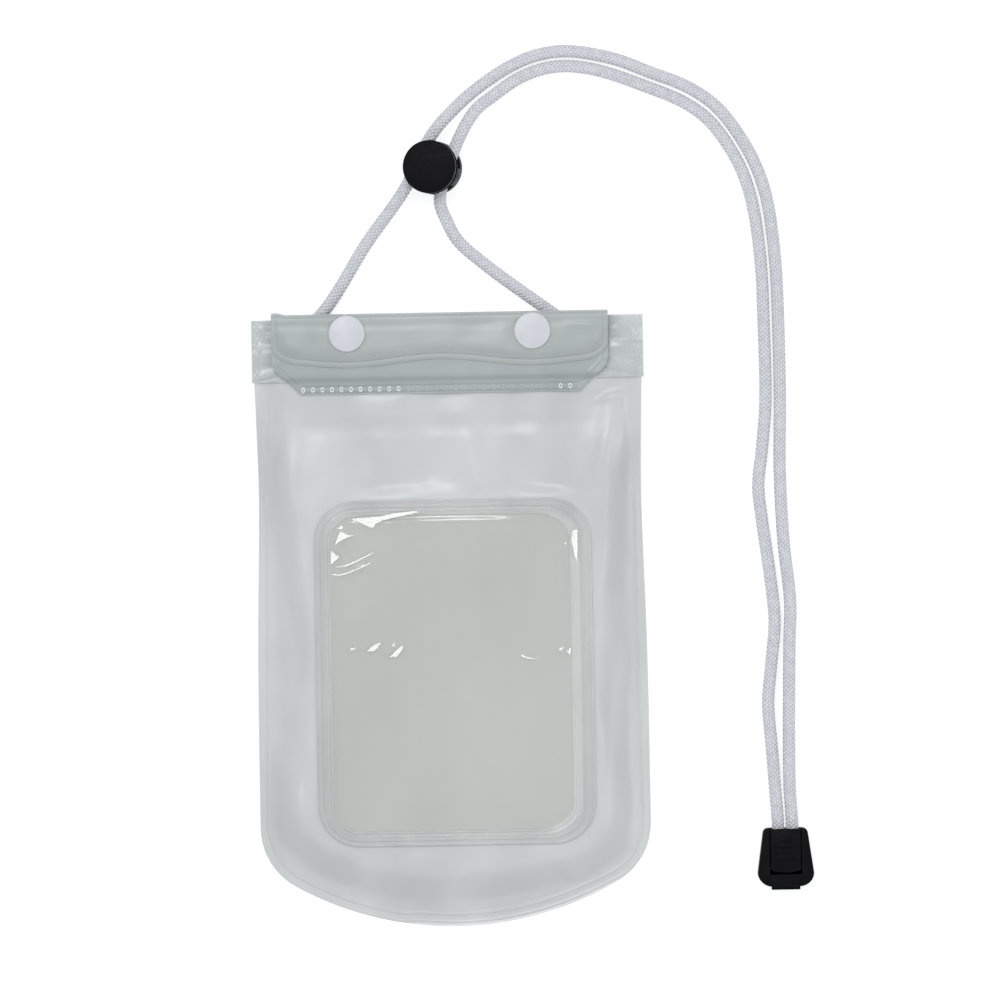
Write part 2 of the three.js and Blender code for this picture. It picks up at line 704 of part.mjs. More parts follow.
const lockSegments = 28;
const holeLow = holeZ - holeHeight / 2;
const holeHigh = holeZ + holeHeight / 2;

// A pair of cuts right across the lock, each from x0 to x1 on the far side of its cord's middle.
function crossHoles(x0, x1, z0, z1) {
  const reach = 2 * lockRadius;
  return [-1, 1].map((side) => {
    const ends = [side * (holeOffset + x0), side * (holeOffset + x1)];
    return toSolid(block(Math.min(...ends), Math.max(...ends), -reach, reach, z0, z1));
  });
}

function lockBarrel() {
  const inner = lockRadius - barrelWall;
  const shell = turned([[0, 0], [lockRadius - edgeBreak, 0], [lockRadius, edgeBreak],
    [lockRadius, barrelHeight - edgeBreak], [lockRadius - edgeBreak, barrelHeight],
    [inner, barrelHeight], [inner, barrelFloor], [0, barrelFloor]], lockSegments);
  let barrel = toSolid(shell);
  crossHoles(-holeWidth / 2, holeWidth / 2, holeLow, holeHigh).forEach((hole) => {
    barrel = barrel.subtract(hole);
  });
  return mesh('lock_barrel', toGeometry(barrel), blackPlastic);
}

function lockPlunger() {
  const stem = lockRadius - barrelWall - plungerClear;
  const buttonZ0 = barrelHeight + buttonTravel + buttonStop;
  const buttonZ1 = buttonZ0 + buttonHeight;
  const low = barrelFloor + buttonTravel + plungerClear;
  const domeRadius = lockRadius - buttonEdge;
  const domeSteps = 4;
  const top = [];
  for (let i = 0; i <= domeSteps; i += 1) {
    const r = domeRadius * (1 - i / domeSteps);
    top.push([r, buttonZ1 + buttonDome * (1 - (r / domeRadius) ** 2)]);
  }
  const bore = springRadius + springWire;
  const body = turned([[0, holeHigh], [bore, holeHigh], [bore, low], [stem, low], [stem, buttonZ0],
    [lockRadius, buttonZ0], [lockRadius, buttonZ1 - buttonEdge], ...top], lockSegments);
  let plunger = toSolid(body);
  const notchHigh = holeHigh + buttonTravel;
  crossHoles(webHalf - holeOffset, lockRadius, holeLow, notchHigh).forEach((hole) => {
    plunger = plunger.subtract(hole);
  });
  return mesh('lock_plunger', toGeometry(plunger), blackPlastic);
}

function lockSpring() {
  const z0 = barrelFloor + springWire / 2 + springClear;
  const z1 = holeHigh - springWire / 2 - springClear;
  class Helix extends THREE.Curve {
    getPoint(t, target = new THREE.Vector3()) {
      const angle = 2 * Math.PI * springTurns * t;
      const z = z0 + (z1 - z0) * t;
      return target.set(springRadius * Math.cos(angle), springRadius * Math.sin(angle), z);
    }
  }
  const section = shapeOf(arc(0, 0, springWire / 2, 0, 2 * Math.PI, 6).slice(0, -1));
  const geometry = new THREE.ExtrudeGeometry(section, {
    steps: springTurns * 12, bevelEnabled: false, extrudePath: new Helix(),
  });
  return mesh('lock_spring', geometry, springSteel);
}

function cordLock() {
  const upright = new THREE.Group();
  upright.add(lockBarrel(), lockPlunger(), lockSpring());
  upright.rotation.z = THREE.MathUtils.degToRad(lockHoleTurn - 90);
  const tilt = THREE.MathUtils.degToRad(lockTilt);
  const leaning = new THREE.Group();
  leaning.add(upright);
  leaning.rotation.y = -tilt;
  leaning.position.set(lockX, lockY, lockRadius * Math.sin(tilt));
  return leaning;
}

// Cord-end clip: a tray that holds both ends of the cord under a hinged lid

const clipCordTop = clipFloor + clipCordLift + cordDiameter;
const lidZ = clipCordTop + lidGap;
const hingeY = clipTopY - hingeFromTop;
const hingeZ = lidZ + hingeLift;
const lidSweep = Math.hypot(hingeRadius + lidTail, lidZ + lidThick - hingeZ) + lidClear;

function clipOutline() {
  const wideY = clipTopY - clipWideAt;
  const bottomRise = clipLength - clipWideAt;
  const cornerX = clipWideHalf - clipCorner;
  const [roundX, roundY] = clipTopRound;
  const topX = clipTopHalf - roundX;
  const corner = (x, from, to) => ellipseArc(x, wideY, clipCorner, bottomRise, from, to, 6);
  const topCorner = (x, from, to) => ellipseArc(x, clipTopY - roundY, roundX, roundY, from, to, 4);
  return shapeOf([
    ...topCorner(clipX - topX, 0.5 * Math.PI, Math.PI),
    ...corner(clipX - cornerX, Math.PI, 1.5 * Math.PI),
    ...corner(clipX + cornerX, 1.5 * Math.PI, 2 * Math.PI),
    ...topCorner(clipX + topX, 0, 0.5 * Math.PI),
  ]);
}

function clipBase() {
  const slotHalf = lidWidth / 2 + lidClear;
  const pocketHalf = pocketWidth / 2;
  const pocketEnd = hingeY - hingeRadius - lidClear;
  const bottomEnd = clipTopY - clipLength;
  const nubHalf = nubWidth / 2;
  const nub = block(clipX - nubHalf, clipX + nubHalf, bottomEnd - nubLength, bottomEnd + nubLength,
    0, nubHeight);
  const pocket = block(clipX - pocketHalf, clipX + pocketHalf, pocketEnd, clipTopY + overcut,
    clipFloor, clipHeight + overcut);
  const slot = block(clipX - slotHalf, clipX + slotHalf, hingeY, clipTopY + overcut,
    lidZ - lidClear, clipHeight + overcut);
  let base = toSolid(plate(clipOutline(), 0, clipHeight)).add(toSolid(nub));
  base = base.subtract(toSolid(pocket)).subtract(toSolid(slot));
  const scoop = new THREE.CylinderGeometry(lidSweep, lidSweep, 2 * slotHalf, 24).rotateZ(Math.PI / 2)
    .translate(clipX, hingeY, hingeZ);
  base = base.subtract(toSolid(scoop));
  const socket = hingePin + hingePinClear;
  const socketHalf = slotHalf + hingePinLength;
  const pinHole = new THREE.CylinderGeometry(socket, socket, 2 * socketHalf, 16).rotateZ(Math.PI / 2)
    .translate(clipX, hingeY, hingeZ);
  base = base.subtract(toSolid(pinHole));
  return mesh('clip_base', toGeometry(base), blackPlastic);
}

function clipLid() {
  const half = lidWidth / 2;
  const top = clipTopY - lidInset;
  const tailY = hingeY - hingeRadius - lidTail + lidTailRound;
  const outline = shapeOf([
    [clipX - half, top],
    ...ellipseArc(clipX, tailY, half, lidTailRound, Math.PI, 2 * Math.PI, 8),
    [clipX + half, top],
  ]);
  let lid = toSolid(plate(outline, lidZ, lidZ + lidThick));
  const knuckle = new THREE.CylinderGeometry(hingeRadius, hingeRadius, lidWidth, 20).rotateZ(Math.PI / 2)
    .translate(clipX, hingeY, hingeZ);
  const pinSpan = lidWidth + 2 * (lidClear + hingePinLength - hingePinClear);
  const pin = new THREE.CylinderGeometry(hingePin, hingePin, pinSpan, 16).rotateZ(Math.PI / 2)
    .translate(clipX, hingeY, hingeZ);
  lid = lid.add(toSolid(knuckle)).add(toSolid(pin));
  const lidTop = lidZ + lidThick;
  markReaches.forEach((reach, i) => {
    const y = clipTopY - markFirst - markPitch * i;
    const mark = block(clipX - reach, clipX + reach, y - markWidth / 2, y + markWidth / 2,
      lidTop - markHeight, lidTop + markHeight);
    lid = lid.add(toSolid(mark));
  });
  return mesh('clip_lid', toGeometry(lid), blackPlastic);
}

const pouch = new THREE.Group();
pouch.name = 'waterproof_case';
pouch.add(
  frontPanel(),
  backPanel(),
  windowFilm('front_window', level + film),
  windowFilm('back_window', film),
  zipFront(),
  zipBack(),
  frontTab(),
  closingFlap(),
  cordTunnel(),
  ...snapPieces('left'),
  ...snapPieces('right'),
  neckCord(),
  cordLock(),
  clipBase(),
  clipLid(),
);

export default pouch;
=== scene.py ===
"""Looks of a waterproof phone pouch that lies on its back with its neck cord beside it.

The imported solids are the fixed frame. This script dresses them: frosted sheets with their welds and
wrinkles, clear windows, a press-seal strip, a flap with snaps, a braided cord, its lock and its end clip.
Sizes are in millimetres until a mesh is made, and in metres after that.
"""
import enum
import logging
import math
from dataclasses import dataclass
from typing import Callable, Iterable, Optional, Sequence

import bmesh
import bpy
import numpy as np
from mathutils import Matrix, Vector


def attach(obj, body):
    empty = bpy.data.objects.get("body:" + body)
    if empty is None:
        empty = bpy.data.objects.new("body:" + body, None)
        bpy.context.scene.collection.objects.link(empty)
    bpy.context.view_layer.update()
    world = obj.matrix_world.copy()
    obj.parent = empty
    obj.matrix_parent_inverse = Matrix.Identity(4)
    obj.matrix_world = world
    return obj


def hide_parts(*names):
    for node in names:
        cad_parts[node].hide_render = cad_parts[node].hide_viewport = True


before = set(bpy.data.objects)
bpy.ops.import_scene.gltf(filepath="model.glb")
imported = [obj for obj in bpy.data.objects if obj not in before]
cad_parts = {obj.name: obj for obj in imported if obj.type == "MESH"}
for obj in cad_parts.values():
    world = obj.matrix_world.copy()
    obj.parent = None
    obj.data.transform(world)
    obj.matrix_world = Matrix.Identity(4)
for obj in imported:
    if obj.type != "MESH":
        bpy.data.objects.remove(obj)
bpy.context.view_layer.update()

MM = 0.001
ORIGIN = (0.0, 0.0, 0.0)
TOUCHING = 1e-6
FLAT_DEGREES = 1.0
WHITE = (1.0, 1.0, 1.0, 1.0)
WAVE_BEND = 0.9
WAVE_BEND_LENGTH = 1.7
FOLD_FADE = 0.4
FOLD_OVERRUN = 0.15
LOG = logging.getLogger("pouch")

Array = np.ndarray
Piece = bpy.types.Object
Material = bpy.types.Material
Tree = bpy.types.NodeTree
Node = bpy.types.Node
Socket = bpy.types.NodeSocket
# Rows of numbers in millimetres. A ridge is its centre, half width and height; a wave is its length and
# height; a fold or crease is x0, y0, x1, y1, half width and height; an outline's row is x and y.
Lines = tuple[tuple[float, ...], ...]


class Body(str, enum.Enum):
    """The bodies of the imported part."""

    POUCH = "pouch"
    BUTTON = "lock_button"
    LID = "cord_end_lid"


class Slot(str, enum.Enum):
    """Names of the record's material slots, one given with each new piece."""

    FROSTED = "frosted_film"
    CLEAR = "clear_film"
    ZIP = "zip_plastic"
    SNAP = "snap_plastic"
    BRAID = "cord_braid"
    BLACK = "black_plastic"


# Small mathematics shared by the sheets


def smooth(t: Array) -> Array:
    """Returns the cubic step from 0 to 1."""
    u = np.clip(t, 0.0, 1.0)
    return u * u * (3 - 2 * u)


def bump(distance: Array, centre: float, half: float) -> Array:
    """Returns a rounded ridge: 1 at the centre and 0 from half away."""
    u = np.clip(np.abs(distance - centre) / half, 0.0, 1.0)
    return (1 - u * u) ** 2


def ridges(distance: Array, rows: Iterable[Sequence[float]]) -> Array:
    """Adds up rounded ridges, each given by its centre, its half width and its height."""
    total = np.zeros_like(distance)
    for centre, half, height in rows:
        total = total + height * bump(distance, centre, half)
    return total


def points(*coordinates: Array) -> Array:
    """Joins coordinates, each an array or one number for all, into points."""
    return np.stack(np.broadcast_arrays(*coordinates), axis=-1)


def circle(count: int) -> tuple[Array, Array]:
    """Returns the cosines and sines of even steps round a circle."""
    angles = np.linspace(0, 2 * np.pi, count, endpoint=False)
    return np.cos(angles), np.sin(angles)


def segment_distance(x: Array, y: Array, ends: Sequence[float]) -> tuple[Array, Array]:
    """Measures how far points lie from a line segment.

    Args:
        x: Across the pouch.
        y: Along the pouch.
        ends: The segment, as x0, y0, x1, y1.

    Returns:
        The signed distance to the segment's line, and the share of the way along it.
    """
    x0, y0, x1, y1 = ends
    dx, dy = x1 - x0, y1 - y0
    length = math.hypot(dx, dy)
    along = ((x - x0) * dx + (y - y0) * dy) / length ** 2
    across = ((x - x0) * dy - (y - y0) * dx) / length
    return across, along


def linear(hex_colour: str) -> tuple[float, float, float, float]:
    """Turns an sRGB hex colour into linear red, green, blue and alpha."""
    channels = [int(hex_colour[i:i + 2], 16) / 255 for i in (1, 3, 5)]
    curve = [c / 12.92 if c <= 0.04045 else ((c + 0.055) / 1.055) ** 2.4 for c in channels]
    return (curve[0], curve[1], curve[2], 1.0)


# Meshes


def mesh_object(name: str, vertices: Array, faces: Sequence[Sequence[int]],
                smooth_faces: bool = True) -> Piece:
    """Makes an object from points in millimetres.

    Args:
        name: The piece's name.
        vertices: Points, one row each.
        faces: Corner numbers of each face.
        smooth_faces: Whether the faces are shaded smooth.

    Returns:
        The new object, in the scene.
    """
    mesh = bpy.data.meshes.new(name)
    mesh.from_pydata((np.asarray(vertices, dtype=float) * MM).tolist(), [], faces)
    mesh.validate()
    mesh.polygons.foreach_set("use_smooth", [smooth_faces] * len(mesh.polygons))
    mesh.update()
    piece = bpy.data.objects.new(name, mesh)
    bpy.context.collection.objects.link(piece)
    return piece


def ring_faces(rings: int, count: int, offset: int, flip: bool) -> Array:
    """Lists the quads between closed rings of points.

    Args:
        rings: How many rings.
        count: Points in each ring.
        offset: Number of the first point.
        flip: Whether the faces point the other way.

    Returns:
        One row of four corner numbers for each quad.
    """
    r, i = np.meshgrid(np.arange(rings - 1), np.arange(count), indexing="ij")
    j = (i + 1) % count
    a, b = r * count + i, r * count + j
    c, d = (r + 1) * count + j, (r + 1) * count + i
    corners = (a, d, c, b) if flip else (a, b, c, d)
    return points(*corners).reshape(-1, 4) + offset


def band_mesh(name: str, top: Array, under: Array, closed_middle: bool) -> Piece:
    """Makes a closed sheet from rings of points, from the outside in.

    Args:
        name: The piece's name.
        top: Points of the upper side, as rings, points and 3 coordinates.
        under: Points of the lower side.
        closed_middle: Whether the last ring ends in one middle point, or else in an inner edge.

    Returns:
        The sheet.
    """
    rings, count = top.shape[:2]
    half = rings * count
    vertices = [top.reshape(-1, 3), under.reshape(-1, 3)]
    i = np.arange(count)
    j = (i + 1) % count
    last = (rings - 1) * count
    low = half + last
    faces = [ring_faces(rings, count, 0, False), ring_faces(rings, count, half, True),
             points(half + i, half + j, j, i)]
    if closed_middle:
        vertices += [top[-1].mean(axis=0)[None], under[-1].mean(axis=0)[None]]
        ends = [points(last + i, last + j, 2 * half), points(low + j, low + i, 2 * half + 1)]
    else:
        ends = [points(last + i, last + j, low + j, low + i)]
    return mesh_object(name, np.concatenate(vertices), sum((rows.tolist() for rows in faces + ends), []))


def grid_mesh(name: str, top: Array, under: Array) -> Piece:
    """Makes a closed sheet from two open grids of points.

    Args:
        name: The piece's name.
        top: Points of one side, as rows, columns and 3 coordinates.
        under: Points of the other side.

    Returns:
        The sheet, with its faces turned outwards.
    """
    rows, columns = top.shape[:2]
    half = rows * columns
    r, c = np.meshgrid(np.arange(rows - 1), np.arange(columns - 1), indexing="ij")
    a = r * columns + c
    quads = points(a, a + 1, a + columns + 1, a + columns).reshape(-1, 4)
    edge = np.concatenate((np.arange(columns), np.arange(1, rows) * columns + columns - 1,
                           (rows - 1) * columns + np.arange(columns - 2, -1, -1),
                           np.arange(rows - 2, 0, -1) * columns))
    following = np.roll(edge, -1)
    wall = points(following, edge, edge + half, following + half)
    faces = np.concatenate((quads, quads[:, ::-1] + half, wall))
    piece = mesh_object(name, np.concatenate((top.reshape(-1, 3), under.reshape(-1, 3))), faces.tolist())
    face_outwards(piece)
    return piece


def loft_mesh(name: str, loops: Array, capped: bool = True) -> Piece:
    """Makes a closed solid through loops of points.

    Args:
        name: The piece's name.
        loops: Stations, points and 3 coordinates.
        capped: Whether flat faces close both ends.

    Returns:
        The solid, with its faces turned outwards.
    """
    stations, count = loops.shape[:2]
    faces = ring_faces(stations, count, 0, False).tolist()
    if capped:
        faces.append(list(range(count))[::-1])
        faces.append(list(range((stations - 1) * count, stations * count)))
    piece = mesh_object(name, loops.reshape(-1, 3), faces)
    face_outwards(piece)
    return piece


def turned_mesh(name: str, profile: Sequence[tuple[float, float]], centre: Sequence[float],
                segments: int = 72) -> Piece:
    """Makes a turned solid about an upright axis.

    Args:
        name: The piece's name.
        profile: Radius and height from the axis round to the axis, or closed on itself.
        centre: Where the axis stands.
        segments: Facets round the axis.

    Returns:
        The solid, with its faces turned outwards.
    """
    radii, heights = np.array(profile).T[..., None]
    cosines, sines = circle(segments)
    loops = points(centre[0] + radii * cosines, centre[1] + radii * sines, centre[2] + heights)
    piece = loft_mesh(name, loops, capped=False)
    merge(piece, TOUCHING)
    face_outwards(piece)
    return piece


def edit(piece: Piece, change: Callable[[bmesh.types.BMesh], None]) -> None:
    """Opens a piece's mesh, changes it and stores it again."""
    work = bmesh.new()
    work.from_mesh(piece.data)
    change(work)
    work.to_mesh(piece.data)
    work.free()
    piece.data.update()


def merge(piece: Piece, distance: float) -> None:
    """Merges points that lie within a distance in metres, and drops faces that vanish."""

    def change(work: bmesh.types.BMesh) -> None:
        bmesh.ops.remove_doubles(work, verts=work.verts[:], dist=distance)
        bmesh.ops.dissolve_degenerate(work, edges=work.edges[:], dist=distance)

    edit(piece, change)


def face_outwards(piece: Piece) -> None:
    """Turns all faces of closed shells outwards."""
    edit(piece, lambda work: bmesh.ops.recalc_face_normals(work, faces=work.faces[:]))


def apply_modifiers(piece: Piece) -> None:
    """Turns the evaluated piece into its plain mesh and removes its modifiers."""
    graph = bpy.context.evaluated_depsgraph_get()
    mesh = bpy.data.meshes.new_from_object(piece.evaluated_get(graph), depsgraph=graph)
    piece.modifiers.clear()
    piece.data = mesh


def join(name: str, pieces: Sequence[Piece]) -> Piece:
    """Joins pieces into the first of them, under a new name."""
    work = bmesh.new()
    for piece in pieces:
        work.from_mesh(piece.data)
    first = pieces[0]
    work.to_mesh(first.data)
    work.free()
    for piece in pieces[1:]:
        bpy.data.objects.remove(piece)
    first.name = name
    first.data.name = name
    return first


def cut(piece: Piece, cutters: Iterable[Piece]) -> None:
    """Cuts closed solids out of a piece and deletes them."""
    used = list(cutters)
    for cutter in used:
        modifier = piece.modifiers.new("cut", "BOOLEAN")
        modifier.operation = "DIFFERENCE"
        modifier.solver = "EXACT"
        modifier.object = cutter
    apply_modifiers(piece)
    for cutter in used:
        bpy.data.objects.remove(cutter)


def round_edges(piece: Piece, width: float, segments: int = 2, angle: float = 30.0) -> None:
    """Rounds a piece's sharp edges.

    Args:
        piece: The piece.
        width: How far each edge is cut back, in millimetres.
        segments: Facets across the rounding.
        angle: Edges that turn less than this, in degrees, stay.
    """
    modifier = piece.modifiers.new("edges", "BEVEL")
    modifier.width = width * MM
    modifier.segments = segments
    modifier.limit_method = "ANGLE"
    modifier.angle_limit = math.radians(angle)
    modifier.harden_normals = False
    apply_modifiers(piece)
    shade(piece, 35.0)


def shade(piece: Piece, angle: float) -> None:
    """Shades a piece smooth, apart from edges that turn more than an angle in degrees."""
    piece.data.polygons.foreach_set("use_smooth", [True] * len(piece.data.polygons))
    piece.data.set_sharp_from_angle(angle=math.radians(angle))


def node_copy(name: str, node: str) -> Piece:
    """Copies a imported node's mesh into a new piece, merged and with its flat faces joined up."""
    piece = bpy.data.objects.new(name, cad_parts[node].data.copy())
    bpy.context.collection.objects.link(piece)
    piece.data.materials.clear()

    def change(work: bmesh.types.BMesh) -> None:
        bmesh.ops.remove_doubles(work, verts=work.verts[:], dist=TOUCHING)
        bmesh.ops.dissolve_limit(work, angle_limit=math.radians(FLAT_DEGREES), verts=work.verts[:],
                                 edges=work.edges[:])

    edit(piece, change)
    return piece


def dress(piece: Piece, material: Material, slot: Slot, *replaces: str, body: Body = Body.POUCH) -> Piece:
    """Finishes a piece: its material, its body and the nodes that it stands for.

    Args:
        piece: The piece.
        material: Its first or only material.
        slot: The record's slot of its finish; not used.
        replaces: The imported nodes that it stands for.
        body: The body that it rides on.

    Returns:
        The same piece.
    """
    piece.data.materials.clear()
    piece.data.materials.append(material)
    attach(piece, body.value)
    if replaces:
        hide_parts(*replaces)
    LOG.info("%s: %d faces, rides on %s", piece.name, len(piece.data.polygons), body.value)
    return piece


# Finishes


def add_node(tree: Tree, kind: str, settings: Optional[dict] = None,
             values: Optional[dict] = None, links: Optional[dict] = None) -> Node:
    """Adds one node with its settings, its sockets' values and its links.

    Args:
        tree: The node tree.
        kind: The node's type name.
        settings: Properties of the node itself.
        values: Default values of its inputs, by name or number.
        links: Output sockets that feed its inputs, by name or number.

    Returns:
        The node.
    """
    node = tree.nodes.new(kind)
    for key, value in (settings or {}).items():
        setattr(node, key, value)
    for key, value in (values or {}).items():
        node.inputs[key].default_value = value
    for key, socket in (links or {}).items():
        tree.links.new(socket, node.inputs[key])
    return node


class Coat:
    """A material in the making: one Principled shader, and patterns on Object coordinates that feed it."""

    def __init__(self, name: str, values: dict[str, object]) -> None:
        """Makes the material with its shader joined to its output.

        Args:
            name: The material's name.
            values: Plain values of the shader's inputs, by name.
        """
        self.material = bpy.data.materials.new(name)
        self.material.use_nodes = True
        self.tree = self.material.node_tree
        self.tree.nodes.clear()
        self.shader = add_node(self.tree, "ShaderNodeBsdfPrincipled", values=values)
        add_node(self.tree, "ShaderNodeOutputMaterial", links={"Surface": self.shader.outputs["BSDF"]})

    def noise(self, size: float, detail: float = 2.0, stretch: Sequence[float] = (1, 1, 1)) -> Socket:
        """Adds a noise pattern on Object coordinates.

        Args:
            size: Size of the pattern's patches in millimetres.
            detail: How many finer layers it has.
            stretch: Scale along each axis.

        Returns:
            The pattern's output.
        """
        place = add_node(self.tree, "ShaderNodeTexCoord")
        turned = add_node(self.tree, "ShaderNodeMapping", values={"Scale": tuple(stretch)},
                          links={"Vector": place.outputs["Object"]})
        pattern = add_node(self.tree, "ShaderNodeTexNoise", links={"Vector": turned.outputs["Vector"]},
                           values={"Scale": 1 / (size * MM), "Detail": detail})
        return pattern.outputs["Fac"]

    def spread(self, pattern: Socket, low: float, high: float) -> Socket:
        """Maps the middle of a noise pattern to a range of values."""
        node = add_node(self.tree, "ShaderNodeMapRange", links={"Value": pattern},
                        values={"From Min": 0.35, "From Max": 0.65, "To Min": low, "To Max": high})
        return node.outputs["Result"]

    def feed(self, name: str, source: Socket) -> None:
        """Joins an output to one of the shader's inputs."""
        self.tree.links.new(source, self.shader.inputs[name])

    def tint(self, pattern: Socket, low: str, high: str) -> None:
        """Mixes two hex colours by a pattern."""
        mixed = add_node(self.tree, "ShaderNodeMix", {"data_type": "RGBA"}, {6: linear(low), 7: linear(high)},
                         {0: self.spread(pattern, 0.0, 1.0)})
        self.feed("Base Color", mixed.outputs[2])

    def roughen(self, pattern: Socket, low: float, high: float) -> None:
        """Varies the roughness by a pattern."""
        self.feed("Roughness", self.spread(pattern, low, high))

    def emboss(self, pattern: Socket, strength: float, depth: float) -> None:
        """Raises a fine relief by a pattern, with a depth in millimetres."""
        relief = add_node(self.tree, "ShaderNodeBump", values={"Strength": strength, "Distance": depth * MM},
                          links={"Height": pattern})
        self.feed("Normal", relief.outputs["Normal"])


@dataclass(frozen=True)
class SheetFinish:
    """Flexible PVC sheet or film: tinted, clouded, and clear or frosted by its cover and roughness."""

    name: str
    colour: str
    cloud: str
    cover: float
    roughness: tuple[float, float]
    cloud_size: float = 22.0
    frost_size: float = 0.5
    frost_depth: float = 0.012
    ior: float = 1.53
    cloud_stretch: tuple[float, float, float] = (1.0, 0.45, 1.0)

    def material(self) -> Material:
        """Builds the sheet's material."""
        coat = Coat(self.name, {"IOR": self.ior, "Alpha": self.cover})
        coat.tint(coat.noise(self.cloud_size, 3.0, self.cloud_stretch), self.colour, self.cloud)
        coat.roughen(coat.noise(self.cloud_size / 3), *self.roughness)
        coat.emboss(coat.noise(self.frost_size), 0.6, self.frost_depth)
        return coat.material


@dataclass(frozen=True)
class MouldedFinish:
    """Injection-moulded plastic: an even colour with a fine matte or satin tool texture."""

    name: str
    colour: str
    worn: str
    roughness: tuple[float, float]
    grain_size: float = 0.35
    grain_depth: float = 0.01
    ior: float = 1.49
    gloss: float = 0.5
    worn_size: float = 3.5
    rough_size: float = 1.8

    def material(self) -> Material:
        """Builds the plastic's material."""
        coat = Coat(self.name, {"IOR": self.ior, "Specular IOR Level": self.gloss})
        coat.tint(coat.noise(self.worn_size, 3.0), self.colour, self.worn)
        coat.roughen(coat.noise(self.rough_size), *self.roughness)
        coat.emboss(coat.noise(self.grain_size), 0.5, self.grain_depth)
        return coat.material


@dataclass(frozen=True)
class BraidFinish:
    """Braided polyester yarn: soft filaments with a little sheen."""

    name: str
    colour: str
    gap: str
    roughness: float = 0.75
    sheen: float = 0.25
    yarn_size: float = 1.6
    filament_size: float = 0.25
    filament_depth: float = 0.03

    def material(self) -> Material:
        """Builds the yarn's material."""
        coat = Coat(self.name, {"Roughness": self.roughness, "Sheen Weight": self.sheen})
        coat.tint(coat.noise(self.yarn_size), self.gap, self.colour)
        coat.emboss(coat.noise(self.filament_size), 0.5, self.filament_depth)
        return coat.material


@dataclass(frozen=True)
class WireFinish:
    """Drawn spring wire: bright steel with fine lines along it."""

    name: str
    colour: str
    roughness: tuple[float, float]
    line_size: float = 0.4
    line_stretch: tuple[float, float, float] = (1.0, 1.0, 6.0)

    def material(self) -> Material:
        """Builds the wire's material."""
        coat = Coat(self.name, {"Base Color": linear(self.colour), "Metallic": 1.0})
        coat.roughen(coat.noise(self.line_size, 2.0, self.line_stretch), *self.roughness)
        return coat.material


class Palette:
    """The finishes of all the pieces, made once."""

    def __init__(self) -> None:
        """Builds every material."""
        # Frosted PVC sheet, calendered: cloudy pale grey, satin, lets what lies behind show faintly.
        self.frosted = SheetFinish("frosted_pvc_calendered", "#D5D8D9", "#E0E2E2", 0.62,
                                   (0.29, 0.33)).material()
        # The same sheet folded over the mouth: greener and more closed.
        self.flap = SheetFinish("frosted_pvc_folded", "#B8BFBE", "#C5CAC9", 0.68, (0.3, 0.4)).material()
        # The tab below it: a darker copy of the same sheet, painted shade of the flap over it, the darkest of
        # the sheets.
        self.tab = SheetFinish("frosted_pvc_tab_painted_shade", "#AFB7B8", "#BAC1C2", 0.7, (0.28, 0.38)).material()
        # Clear PVC film, calendered: warm grey, glossy.
        self.clear = SheetFinish("clear_pvc_calendered", "#CDCFCB", "#D5D6D3", 0.5, (0.06, 0.12), 30.0, 2.2,
                                 0.006).material()
        # Creases of that film, PVC stretched smooth: small sharp glints of the key lamp.
        self.crease = SheetFinish("clear_pvc_creased", "#CDCFCB", "#D5D6D3", 0.5, (0.1, 0.12), 30.0, 2.2,
                                  0.001).material()
        # The film's edge where it is welded to the sheet: whitened, still glossy on its ridges.
        self.rim = SheetFinish("clear_pvc_welded", "#D3D5D4", "#DFE0DF", 0.66, (0.1, 0.18), 12.0, 0.8,
                               0.01).material()
        # Press-seal strip, extruded PVC: hazy, with gloss along its ribs.
        self.zip = SheetFinish("press_seal_pvc_extruded", "#C4CACB", "#D6DADB", 0.72, (0.2, 0.32),
                               9.0).material()
        # The strip's rear half, seen only through the other sheets: the same plastic, closed.
        self.zip_rear = SheetFinish("press_seal_pvc_rear", "#C4CACB", "#D6DADB", 1.0, (0.24, 0.36),
                                    9.0).material()
        # Weld rings on the tab, painted near white: a painted highlight for the glints on the weld's ridges,
        # with glossy tops that catch the light.
        self.weld_highlight = SheetFinish("pvc_weld_painted_highlight", "#F0F2F2", "#E4E8E8", 1.0, (0.15, 0.25),
                                    5.0).material()
        # Snap parts, injection-moulded acetal: white with a faint cool tint and a satin skin.
        self.snap = MouldedFinish("white_acetal_moulded", "#CBCDD3", "#C6C8CE", (0.34, 0.44), 0.8, 0.004,
                                  1.48).material()
        # Lock and cord end, injection-moulded nylon: near black with a matte tool grain.
        self.black = MouldedFinish("black_nylon_moulded", "#0A0A0C", "#0F0F11", (0.42, 0.54), 0.4, 0.012,
                                   1.53, 0.06).material()
        # Cord, braided polyester: white yarn with a soft, slightly cool sheen.
        self.braid = BraidFinish("white_polyester_braided", "#DEDFE4", "#D2D4DA").material()
        # The same braid's inside, painted a shade greyer: painted shade in the gaps between the grains.
        self.core = BraidFinish("polyester_braid_gap_shade", "#D2D4DA", "#C8CAD1").material()
        # Lock spring, drawn stainless wire: a cold bright line inside the lock.
        self.steel = WireFinish("stainless_wire_drawn", "#C3C4C6", (0.22, 0.34)).material()


# Camera, light and floor


